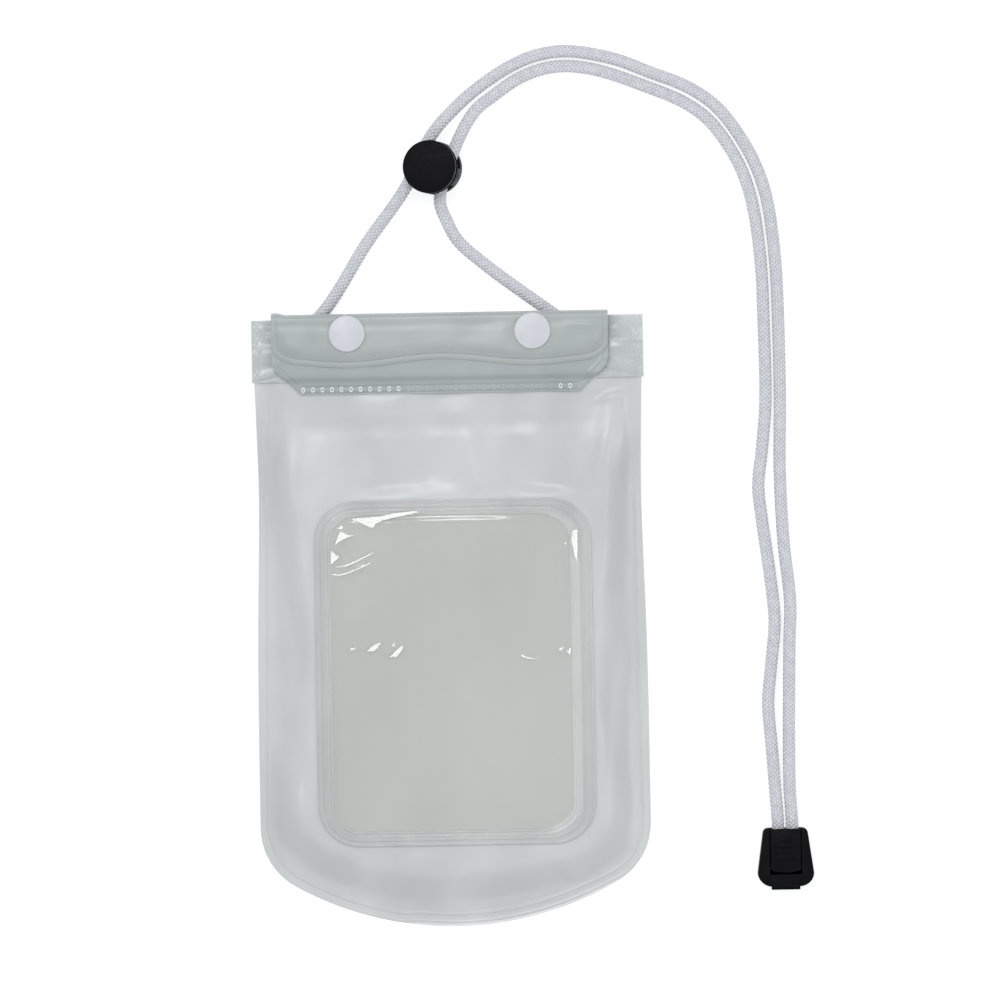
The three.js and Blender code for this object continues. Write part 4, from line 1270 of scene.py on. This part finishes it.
@dataclass
class FilmCreases:
    """Sharp little facets where the clear film is creased.

    Each leans so that it mirrors the key lamp straight up.
    """

    lamp: tuple[float, float, float] = Studio.key
    level: float = 8.16
    thickness: float = 0.05
    facets: tuple[Lines, ...] = (
        ((-29.2, 29.9), (-19.6, 30.6), (-16.6, 31.3), (-10.6, 31.9), (-9.0, 31.6), (-11.5, 31.0),
         (-16.0, 30.2), (-19.8, 29.3), (-22.0, 28.3), (-22.9, 27.0)),
        ((-32.5, 26.4), (-30.0, 25.1), (-28.4, 25.0), (-30.2, 24.6), (-33.9, 22.5)),
        ((-35.3, 20.6), (-32.8, 18.8), (-35.2, 16.6)),
        ((-34.0, 15.9), (-31.4, 16.3), (-28.2, 17.5), (-22.8, 20.0), (-23.0, 19.6), (-28.0, 17.1),
         (-31.0, 15.9), (-33.6, 15.6)),
        ((-35.6, 13.9), (-32.8, 13.6), (-29.0, 14.7), (-23.6, 16.9), (-23.8, 16.6), (-29.0, 14.3),
         (-32.6, 13.2), (-35.0, 13.5)),
        ((-30.2, -8.2), (-28.9, -8.1), (-28.9, -8.6), (-30.0, -8.5)),
        ((-25.2, -9.0), (-23.0, -7.2), (-21.4, -6.7), (-22.0, -8.2), (-23.4, -9.2)),
        ((-18.4, -10.8), (-16.6, -8.9), (-15.0, -7.6), (-14.4, -7.7), (-15.2, -9.4), (-16.4, -10.8)),
        ((20.0, -11.2), (22.6, -11.7), (25.0, -12.3), (22.4, -12.1)),
        ((33.4, -10.0), (34.8, -9.0), (34.6, -11.4)),
        ((35.7, 25.3), (37.3, 25.6), (37.2, 20.8), (37.0, 16.2), (36.3, 18.5), (35.4, 22.5)),
        ((33.4, 21.9), (33.9, 21.9), (33.9, 21.4), (33.4, 21.4)))

    def build(self, material: Material) -> Piece:
        """Makes all the facets as one piece."""
        made = []
        for outline in self.facets:
            flat = np.array(outline)
            middle = np.append(flat.mean(axis=0), self.level)
            to_lamp = np.array(self.lamp) / MM - middle
            normal = to_lamp / np.linalg.norm(to_lamp) + (0.0, 0.0, 1.0)
            slope = -normal[:2] / normal[2]
            rise = (flat - flat.mean(axis=0)) @ slope
            low = np.column_stack((flat, self.level + rise - rise.min()))
            made.append(loft_mesh("facet", np.array((low, low + (0.0, 0.0, self.thickness)))))
        piece = join("front_window_creases", made)
        shade(piece, 30.0)
        return dress(piece, material, Slot.CLEAR)


@dataclass
class PressSeal:
    """The press-seal strip: the front half with its ribs, crushed flat at both welded ends."""

    shape: PouchShape = PouchShape()
    base: float = 0.7
    front_z: float = 7.6
    raised: float = 5.6
    clear: float = 0.3
    rib_stem: float = 0.7
    rib_head: float = 1.7
    head_height: float = 0.5
    ridge: float = 0.08
    lip: float = 0.24
    lip_inset: tuple[float, float] = (1.1, 1.5)
    tracks: tuple[float, float] = (75.8, 80.8)
    track_half: float = 1.2
    grips: tuple[float, float] = (84.6, 86.4)
    grip_half: float = 0.45
    between: Lines = ((78.3, 2.2, 0.16), (83.4, 2.0, 0.12))
    crush: float = 3.0
    rows: int = 110
    seed: int = 12
    swells: Lines = ((11.0, 0.12), (7.0, 0.08), (4.5, 0.03))
    bulges: Lines = (
        (47.0, 79.4, 52.5, 79.2, 2.1, 0.34), (49.5, 84.8, 53.0, 84.4, 1.6, 0.3),
        (49.0, 74.6, 55.0, 73.8, 1.6, 0.2), (-57.0, 85.4, -53.0, 85.6, 1.8, 0.2),
        (-55.0, 80.5, -55.3, 77.0, 0.5, 0.3), (54.2, 86.0, 54.6, 75.5, 0.6, -0.25))

    def upper(self, x: float, y: Array, crushed: float) -> Array:
        """Returns the strip's outer face at a station: soft swells, a curved lip and the crushed end."""
        inward = self.shape.half_width - abs(x)
        start, slope = self.lip_inset
        lip = self.shape.zip_bottom + start + slope * float(smooth(np.array(inward / 9)))
        rows = [(track, self.track_half, self.ridge) for track in self.tracks]
        rows += [(grip, self.grip_half, 0.5 * self.ridge * (1 - crushed)) for grip in self.grips]
        rows += [*self.between, (lip, 0.7, self.lip), (lip - 1.0, 0.5, -0.1)]
        rows.append((self.shape.zip_top - 0.35, 0.35, 0.1))
        x_all = np.full_like(y, x)
        inside = smooth((y - lip - 0.5) / 2) * smooth((self.shape.zip_top - y) / 2)
        z = self.front_z + self.base + ridges(y, rows)
        z += ripples(x_all, y, self.seed, self.swells) * inside + folds(x_all, y, self.bulges)
        return z - crushed * (0.12 + 0.1 * np.cos(y * 2 * np.pi / 2.3) * math.cos(x * 5.0))

    def section(self, x: float, crushed: float) -> Array:
        """Returns one closed section of the strip, with its ribs below."""
        shape = self.shape
        low = [(shape.zip_bottom, self.front_z)]
        head_low = self.raised + self.clear
        head_top = head_low + self.head_height
        stem, head = self.rib_stem / 2, self.rib_head / 2
        for y in self.tracks:
            left = [(y - stem, self.front_z), (y - stem, head_top),
                    (y - head, head_top), (y - stem, head_low)]
            low += left + [(2 * y - side, z) for side, z in reversed(left)]
        low.append((shape.zip_top, self.front_z))
        y = np.linspace(shape.zip_top, shape.zip_bottom, self.rows)
        return np.concatenate((np.array(low), points(y, self.upper(x, y, crushed))))

    def build(self, material: Material) -> Piece:
        """Makes the front strip."""
        half = self.shape.half_width
        ends = np.concatenate((np.arange(0, 4.0, 0.3), np.arange(4.0, 12.0, 0.8)))
        stations = np.concatenate((-half + ends, np.linspace(-half + 13, half - 13, 40), (half - ends)[::-1]))
        loops = []
        for x in stations:
            inward = half - abs(float(x))
            crushed = float(smooth(np.array((self.crush - inward) / 1.2)) * smooth(np.array(inward / 0.8)))
            loops.append(points(x, *self.section(float(x), crushed).T))
        piece = loft_mesh("zip_strip_front_sheet", np.array(loops))
        shade(piece, 40.0)
        return dress(piece, material, Slot.ZIP, "zip_strip_front")


def line_distance(x: Array, y: Array, line: Array) -> Array:
    """Returns the distance of each point from an open line of points."""
    best = np.full(x.shape, 1e9)
    for (x0, y0), (x1, y1) in zip(line, line[1:]):
        dx, dy = x1 - x0, y1 - y0
        t = np.clip(((x - x0) * dx + (y - y0) * dy) / max(dx * dx + dy * dy, 1e-12), 0, 1)
        best = np.minimum(best, np.hypot(x - x0 - t * dx, y - y0 - t * dy))
    return best


@dataclass
class Closure:
    """The flap, folded over the mouth, and the tab that it snaps to."""

    shape: PouchShape = PouchShape()
    film: float = 0.4
    lobe_y: float = 75.4
    lobe_depth: float = 1.1
    snap_spacing: float = 54.4
    snap_y: float = 84.2
    corner_across: float = 9.4
    corner_along: float = 5.6
    fold_depth: float = 1.5
    front_z: float = 12.5
    back_z: float = 4.2
    land_z: float = 5.18
    land_top: float = 69.0
    flap_low: float = 67.4
    tab_low: float = 66.4
    tab_top: float = 88.4
    tab_z: float = 9.6
    tab_land_z: float = 7.62
    tab_rise: float = 69.8
    tab_climb: float = 1.9
    tab_lines_end: float = 77.5
    weld_half: float = 40.9
    flap_rows: tuple[float, ...] = (0, 0.15, 0.35, 0.6, 0.85, 1.05, 1.25, 1.45, 1.65, 1.85, 2.1, 2.5, 3.0)
    flap_lines: Lines = ((0.55, 0.4, 0.144), (1.45, 0.38, -0.24))
    fold_bump: tuple[float, float, float] = (-50.4, 3.2, 0.6)
    fold_groove: tuple[float, float, float] = (86.6, 1.7, -0.22)
    snap_clear: float = 5.2
    seed: int = 3
    tab_rows: tuple[float, ...] = (0, 0.15, 0.35, 0.6, 0.85, 1.1, 1.35, 1.6, 1.85, 2.1, 2.35, 2.6, 2.9, 3.3)
    tab_lines: Lines = ((0.7, 0.45, 0.24), (2.0, 0.4, 0.24))
    tab_lip: tuple[float, float, float] = (0.3, 0.3, 0.15)
    seam_groove: tuple[float, float, float] = (1.02, 0.26, -0.28)
    droop: float = 2.3
    droop_reach: float = 5.0
    seam_y: float = 67.95
    flap_waves: Lines = ((34, 0.12), (21, 0.08))
    flap_folds: Lines = (
        (5.0, 74.0, 27.0, 88.0, 8.0, 0.45), (-40.0, 88.0, -46.0, 78.0, 5.0, 0.2),
        (-22.0, 88.0, -8.0, 78.0, 7.0, -0.2), (34.0, 86.5, 46.0, 85.5, 1.6, 0.25),
        (40.0, 84.0, 34.0, 76.0, 5.0, -0.2))
    taper: Lines = ((40.9, 0.0), (46.4, 5.2), (48.8, 7.4), (49.4, 10.2))

    def columns(self) -> Array:
        """Returns the places across the flap, closer together round its corners."""
        corner = self.shape.flap_half - self.corner_across
        angle = np.linspace(0, math.pi / 2, 26)
        side = corner + self.corner_across * np.sin(angle)
        straight = np.linspace(-corner, corner, 170)[1:-1]
        return self.shape.flap_x + np.concatenate((-side[::-1], straight, side))

    def front_edge(self, x: Array) -> Array:
        """Returns the height of the flap's scalloped edge."""
        dx = np.abs(x - self.shape.flap_x)
        corner = self.shape.flap_half - self.corner_across

        def lobe(d: Array) -> Array:
            return self.lobe_y + self.lobe_depth * np.cos(2 * np.pi * d / self.snap_spacing)

        t = np.clip((dx - corner) / self.corner_across, 0, 1)
        rounded = lobe(np.array(corner)) + self.corner_along * (1 - np.sqrt(1 - t * t))
        return np.where(dx < corner, lobe(x - self.shape.flap_x), rounded)

    def taper_low(self, x: Array, low: float) -> Array:
        """Returns the lower edge of a tapered sheet whose weld starts at a height."""
        dx = np.abs(x - self.shape.flap_x)
        return low + np.interp(dx, [d for d, _ in self.taper], [h for _, h in self.taper])

    @staticmethod
    def rows_from(edge: Array, near: Sequence[float], top: float, further: int) -> Array:
        """Lays rows of heights from an edge up to a level.

        Args:
            edge: The edge's height in each column.
            near: Distances from the edge of the close rows.
            top: The last row's height.
            further: Rows between the close rows and the top.

        Returns:
            One row of heights for each distance.
        """
        start = near[-1]
        shares = np.linspace(0, 1, further + 1)[1:]
        return np.stack([edge + d for d in near] + [edge + start + (top - edge - start) * t for t in shares])

    @staticmethod
    def edge_distance(x: Array, y: Array, top: float) -> Array:
        """Returns how far rows of points lie from their first row and from both sides, up to a height."""
        return line_distance(x, y, np.concatenate(([[x[0, 0], top]], points(x[0], y[0]), [[x[0, -1], top]])))

    def flap(self, material: Material) -> Piece:
        """Makes the flap: front with its embossed line, rolled fold and tapered back."""
        x = self.columns()
        y0 = self.front_edge(x)
        top_y = self.shape.zip_top
        front = self.rows_from(y0, self.flap_rows, top_y, 15)
        xs = np.broadcast_to(x, front.shape)
        d = self.edge_distance(xs, front, top_y)
        hang = self.droop * smooth((self.droop_reach - d) / self.droop_reach) * smooth((86.5 - front) / 7)
        inside_edge = smooth((d - 2) / 3) * smooth((88 - front) / 2)
        for snap in (-1, 1):
            apart = np.hypot(xs - self.shape.flap_x - snap * self.snap_spacing / 2, front - self.snap_y)
            inside_edge = inside_edge * smooth((apart - self.snap_clear) / 4)
        wave = ripples(xs, front, self.seed, self.flap_waves) + folds(xs, front, self.flap_folds)
        low = self.front_z - hang + inside_edge * wave + ridges(front, [self.fold_groove])
        high = low + self.film * (0.3 + 0.7 * smooth(d / 0.9)) + ridges(d, self.flap_lines)
        angle = np.linspace(math.pi / 2, -math.pi / 2, 18)[1:]
        middle = (self.front_z + self.film + self.back_z) / 2
        outer = (self.front_z + self.film - self.back_z) / 2
        depth = self.fold_depth + ridges(x, [self.fold_bump])
        low_y = self.taper_low(x, self.flap_low)
        back = np.stack([top_y + (low_y - top_y) * t for t in np.linspace(0, 1, 30)[1:]])
        back_z = self.back_z + (self.land_z - self.back_z) * smooth((self.land_top + 1.6 - back) / 1.6)
        outside, inside = (
            np.concatenate((points(x, front, face_z),
                            np.stack([points(x, top_y + (depth - inset) * math.cos(a),
                                             middle + (outer - inset) * math.sin(a)) for a in angle]),
                            points(x, back, back_z + inset)))
            for face_z, inset in ((high, 0.0), (low, self.film)))
        piece = grid_mesh("closing_flap_sheet", outside, inside)
        shade(piece, 50.0)
        return dress(piece, material, Slot.FROSTED, "closing_flap")

    def tab(self, material: Material) -> Piece:
        """Makes the tab: it climbs from its weld over the strip and has a double line along its edge."""
        x = self.columns()
        low_y = self.taper_low(x, self.tab_low)
        y = self.rows_from(low_y, self.tab_rows, self.tab_top, 25)
        xs = np.broadcast_to(x, y.shape)
        d = self.edge_distance(xs, y, self.tab_top)
        climb = smooth((y - self.tab_rise) / self.tab_climb)
        under = self.tab_land_z + (self.tab_z - self.tab_land_z) * climb
        side = smooth((np.abs(xs - self.shape.flap_x) - self.weld_half + 1) / 2)
        line = ridges(d, self.tab_lines) * side * smooth((self.tab_lines_end - y) / 2)
        seam = ridges(d, [self.tab_lip]) + ridges(np.abs(y - self.seam_y), [self.seam_groove])
        top = under + self.film + line + seam * (1 - side)
        piece = grid_mesh("front_tab_sheet", points(x, y, top), points(x, y, under))
        shade(piece, 50.0)
        return dress(piece, material, Slot.FROSTED, "front_tab")


def weld_group(material: Material) -> Tree:
    """Builds the Geometry Nodes tree of a row of weld marks, either pads or upright rings.

    Args:
        material: The marks' material.

    Returns:
        The tree. Its inputs are the marks' count, start, step and size in metres, and whether they are rings.
    """
    tree, entry = new_group("weld_marks", [("Geometry", "Geometry"), ("Marks", "Int"), ("Start", "Vector"),
                                           ("Step", "Vector"), ("Mark Size", "Vector"), ("Ring", "Bool")])
    row = add_node(tree, "GeometryNodeMeshLine", {"mode": "OFFSET"}, links={
        "Count": entry.outputs["Marks"], "Start Location": entry.outputs["Start"],
        "Offset": entry.outputs["Step"]})
    pad = add_node(tree, "GeometryNodeMeshUVSphere", values={"Segments": 20, "Rings": 10, "Radius": 0.5})
    hoop = add_node(tree, "GeometryNodeCurvePrimitiveCircle", values={"Resolution": 20, "Radius": 0.38})
    wire = add_node(tree, "GeometryNodeCurvePrimitiveCircle", values={"Resolution": 8, "Radius": 0.12})
    ring = add_node(tree, "GeometryNodeCurveToMesh",
                    links={"Curve": hoop.outputs["Curve"], "Profile Curve": wire.outputs["Curve"]})
    mark = add_node(tree, "GeometryNodeSwitch", {"input_type": "GEOMETRY"}, links={
        "Switch": entry.outputs["Ring"], "False": pad.outputs["Mesh"], "True": ring.outputs["Mesh"]})
    laid = add_node(tree, "GeometryNodeInstanceOnPoints", links={
        "Points": row.outputs[0], "Instance": mark.outputs[0], "Scale": entry.outputs["Mark Size"]})
    return end_group(tree, laid, material)


@dataclass
class KnurledWeld:
    """The row that welds the tab to the front sheet: flat pads, with rings painted near white between them at
    both ends as a painted highlight.
    """

    marks: int = 29
    pitch: float = 2.8
    middle: float = -3.3
    y: float = 67.95
    z: float = 7.96
    pad: tuple[float, float, float] = (1.9, 1.5, 0.6)
    ring: tuple[float, float, float] = (1.15, 1.6, 1.6)
    # Runs of rings painted near white, a painted highlight: first mark and count.
    white: tuple[tuple[int, int], ...] = ((0, 11), (27, 2))

    def row(self, name: str, material: Material, first: float, marks: int, ring: bool) -> Piece:
        """Makes one run of marks.

        Args:
            name: The piece's name.
            material: Its material.
            first: Place of the first mark, in steps from the row's left end.
            marks: How many marks.
            ring: Whether they are rings, or else pads.

        Returns:
            The run as one piece.
        """
        piece = mesh_object(name, np.zeros((1, 3)), [])
        left = self.middle - self.pitch * (self.marks - 1) / 2
        size = self.ring if ring else self.pad
        run_nodes(piece, weld_group(material), {
            "Marks": marks, "Start": ((left + first * self.pitch) * MM, self.y * MM, self.z * MM),
            "Step": (self.pitch * MM, 0.0, 0.0), "Mark Size": tuple(s * MM for s in size), "Ring": ring})
        return dress(piece, material, Slot.FROSTED)

    def build(self, palette: Palette) -> None:
        """Makes the pads and the rings that carry the painted highlight."""
        # The pads take the tab's darker copy of the sheet: painted shade.
        self.row("tab_weld_pads", palette.tab, 0.5, self.marks - 1, False)
        for number, (first, marks) in enumerate(self.white):
            self.row(f"tab_weld_rings_{number}", palette.weld_highlight, first, marks, True)


@dataclass
class SnapCaps:
    """The two visible snap caps: white discs with a rolled rim and a low dome."""

    centre_x: float = -2.2
    spacing: float = 54.4
    y: float = 84.2
    z: float = 12.9
    radius: float = 5.35
    rim: float = 0.75
    dome: float = 0.45
    pin_radius: float = 1.2
    pin_depth: float = 0.88

    def profile(self) -> list[tuple[float, float]]:
        """Returns a cap's profile from its pin round to the middle of its dome."""
        points = [(0.0, -self.pin_depth), (self.pin_radius, -self.pin_depth), (self.pin_radius, 0.0),
                  (self.radius - 0.35, 0.0), (self.radius - 0.1, 0.08), (self.radius, 0.3)]
        for t in np.linspace(0, math.pi / 2, 7)[1:]:
            points.append((self.radius - 0.45 * (1 - math.cos(t)), 0.3 + (self.rim - 0.3) * math.sin(t)))
        inner = points[-1][0]
        for t in np.linspace(0, 1, 14)[1:]:
            r = inner * (1 - t)
            points.append((r, self.rim + self.dome * (1 - (r / inner) ** 2)))
        return points

    def build(self, material: Material) -> list[Piece]:
        """Makes both caps."""
        made = []
        for side, sign in (("left", -1), ("right", 1)):
            centre = (self.centre_x + sign * self.spacing / 2, self.y, self.z)
            cap = turned_mesh(f"snap_cap_{side}_turned", self.profile(), centre)
            shade(cap, 40.0)
            made.append(dress(cap, material, Slot.SNAP, f"snap_cap_{side}"))
        return made


@dataclass
class Tunnel:
    """The strip behind the mouth that the cord runs through, welded above and below it."""

    y: float = 63.3
    inner: float = 2.6
    film: float = 0.4
    low_land: float = 3.5
    high_land: float = 1.2
    middle: float = -2.2
    half: float = 40.9
    land_z: float = 5.18
    bend: float = 0.3

    def build(self, material: Material) -> Piece:
        """Makes the strip."""
        outer = self.inner + self.film
        arc = np.linspace(-math.pi, 0, 33)
        low, high = self.y - self.inner - self.low_land, self.y + self.inner + self.high_land
        y, land, soft = self.y, self.land_z, self.bend
        bottom = [(low, land), (y - outer - soft, land), (y - outer, land - soft)]
        bottom += [(y + outer * math.cos(a), outer + outer * math.sin(a)) for a in arc]
        bottom += [(y + outer, land - soft), (y + outer + soft, land), (high, land)]
        top = [(high, land + self.film), (y + self.inner, land + self.film)]
        top += [(y + self.inner * math.cos(a), outer + self.inner * math.sin(a)) for a in arc[::-1]]
        top += [(y - self.inner, land + self.film), (low, land + self.film)]
        section = np.array(bottom + top)
        stations = np.linspace(self.middle - self.half, self.middle + self.half, 60)
        loops = [points(x, *section.T) for x in stations]
        piece = loft_mesh("cord_tunnel_sheet", np.array(loops))
        shade(piece, 40.0)
        return dress(piece, material, Slot.FROSTED, "cord_tunnel")


# Cord lock and cord end


@dataclass
class CordLock:
    """The round spring lock, leaning to the left on its two cords."""

    place: tuple[float, float] = (-2.4, 132.7)
    radius: float = 7.8
    tilt: float = 8.3
    turn: float = -24.0
    barrel_height: float = 9.6
    floor: float = 1.4
    wall: float = 1.3
    hole_offset: float = 4.6
    hole_width: float = 5.4
    hole_low: float = 4.2
    hole_high: float = 8.8
    travel: float = 2.0
    notch_room: float = 0.45
    button_low: float = 11.8
    button_high: float = 14.4
    dome: float = 0.5
    edge: float = 0.5
    stem: float = 6.2
    stem_low: float = 3.7
    web_half: float = 2.0
    bore: float = 1.35
    facets: int = 96

    def matrix(self) -> Matrix:
        """Returns how the upright lock is turned, leaned and placed."""
        tilt = math.radians(self.tilt)
        place = (self.place[0] * MM, self.place[1] * MM, self.radius * math.sin(tilt) * MM)
        return (Matrix.Translation(place) @ Matrix.Rotation(-tilt, 4, "Y")
                @ Matrix.Rotation(math.radians(self.turn), 4, "Z"))

    def cutters(self, x0: float, x1: float, z0: float, z1: float) -> list[Piece]:
        """Makes a pair of square cuts right across the lock."""
        reach = 2 * self.radius
        made = []
        for side in (-1, 1):
            low, high = sorted((side * (self.hole_offset + x0), side * (self.hole_offset + x1)))
            corners = ((low, z0), (high, z0), (high, z1), (low, z1))
            loops = [[(x, y, z) for x, z in corners] for y in (-reach, reach)]
            made.append(loft_mesh("cutter", np.array(loops)))
        return made

    def barrel(self, material: Material) -> Piece:
        """Makes the barrel with its two cross holes."""
        r, top, inner = self.radius, self.barrel_height, self.radius - self.wall
        profile = [(0, 0), (r - 0.5, 0), (r - 0.15, 0.12), (r, 0.45), (r, top - 0.35), (r - 0.1, top - 0.1),
                   (r - 0.3, top), (inner, top), (inner, self.floor), (0, self.floor)]
        piece = turned_mesh("lock_barrel_moulded", profile, ORIGIN, self.facets)
        cut(piece, self.cutters(-self.hole_width / 2, self.hole_width / 2, self.hole_low, self.hole_high))
        round_edges(piece, 0.18, 2, 40.0)
        piece.data.transform(self.matrix())
        return dress(piece, material, Slot.BLACK, "lock_barrel")

    def button(self, material: Material) -> Piece:
        """Makes the button: a domed disc on a notched stem, with the gate mark at its middle."""
        r, low, high = self.radius, self.button_low, self.button_high
        profile = [(0, self.hole_high), (self.bore, self.hole_high), (self.bore, self.stem_low),
                   (self.stem, self.stem_low), (self.stem, low), (r - 0.35, low), (r - 0.1, low + 0.1),
                   (r, low + 0.35), (r, high - self.edge)]
        for t in np.linspace(0, math.pi / 2, 6)[1:]:
            profile.append((r - self.edge * (1 - math.cos(t)), high - self.edge + self.edge * math.sin(t)))
        inner = r - self.edge
        for t in np.linspace(0, 1, 16)[1:-1]:
            profile.append((inner * (1 - t), high + self.dome * (1 - (1 - t) ** 2)))
        crown = high + self.dome
        profile += [(0.42, crown), (0.3, crown + 0.07), (0.15, crown + 0.07), (0.0, crown + 0.02)]
        piece = turned_mesh("lock_button_moulded", profile, ORIGIN, self.facets)
        notch_high = self.hole_high + self.travel + self.notch_room
        cut(piece, self.cutters(self.web_half - self.hole_offset, self.radius, self.hole_low, notch_high))
        shade(piece, 35.0)
        piece.data.transform(self.matrix())
        return dress(piece, material, Slot.BLACK, "lock_plunger", body=Body.BUTTON)


@dataclass
class CordEnd:
    """The lidded cord end: a tapered tray and its lid, moulded with soft edges."""

    edge: float = 0.3
    lid_edge: float = 0.15

    def tray(self, material: Material) -> Piece:
        """Makes the tray with its edges rounded."""
        piece = node_copy("cord_end_tray", "clip_base")
        round_edges(piece, self.edge, 3, 40.0)
        return dress(piece, material, Slot.BLACK, "clip_base")

    def lid(self, material: Material) -> Piece:
        """Makes the lid with its edges rounded."""
        piece = node_copy("cord_end_lid", "clip_lid")
        round_edges(piece, self.lid_edge, 2, 40.0)
        return dress(piece, material, Slot.BLACK, "clip_lid", body=Body.LID)


BACK_WINDOW_LOW, BACK_WINDOW_SEED = 0.4, 31
FRONT_WINDOW_LOW, FRONT_WINDOW_SEED = 7.6, 23
KEPT_NODES = {
    "zip_strip_back": "zip_rear", "lock_spring": "steel",
    "snap_socket_left": "snap", "snap_socket_right": "snap", "snap_stud_left": "snap",
    "snap_stud_right": "snap", "snap_backing_left": "snap", "snap_backing_right": "snap",
}


def finish_nodes(palette: Palette) -> None:
    """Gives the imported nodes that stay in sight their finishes."""
    for name, finish in KEPT_NODES.items():
        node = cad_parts[name]
        node.data.materials.clear()
        node.data.materials.append(getattr(palette, finish))
        LOG.info("%s: packed node, finished as %s", name, finish)


def main() -> None:
    """Builds the stage and the pieces in order."""
    logging.basicConfig(level=logging.INFO, format="%(name)s: %(message)s")
    palette = Palette()
    Studio().build()
    cord = NeckCord()
    braid = cord.build(palette)
    lock = CordLock()
    barrel = lock.barrel(palette.black)
    button = lock.button(palette.black)
    end = CordEnd()
    end.tray(palette.black)
    end.lid(palette.black)
    sheets = Sheets()
    sheets.back(palette.frosted)
    windows = Windows()
    windows.build("back_window_film", "back_window", BACK_WINDOW_LOW, BACK_WINDOW_SEED, palette)
    Tunnel().build(palette.frosted)
    sheets.front(palette.frosted)
    windows.build("front_window_film", "front_window", FRONT_WINDOW_LOW, FRONT_WINDOW_SEED, palette)
    PressSeal().build(palette.zip)
    FilmCreases().build(palette.crease)
    closure = Closure()
    # The tab takes a darker copy of the sheet: painted shade under the flap.
    closure.tab(palette.tab)
    KnurledWeld().build(palette)
    closure.flap(palette.flap)
    SnapCaps().build(palette.snap)
    finish_nodes(palette)


if __name__ == "__main__":
    main()
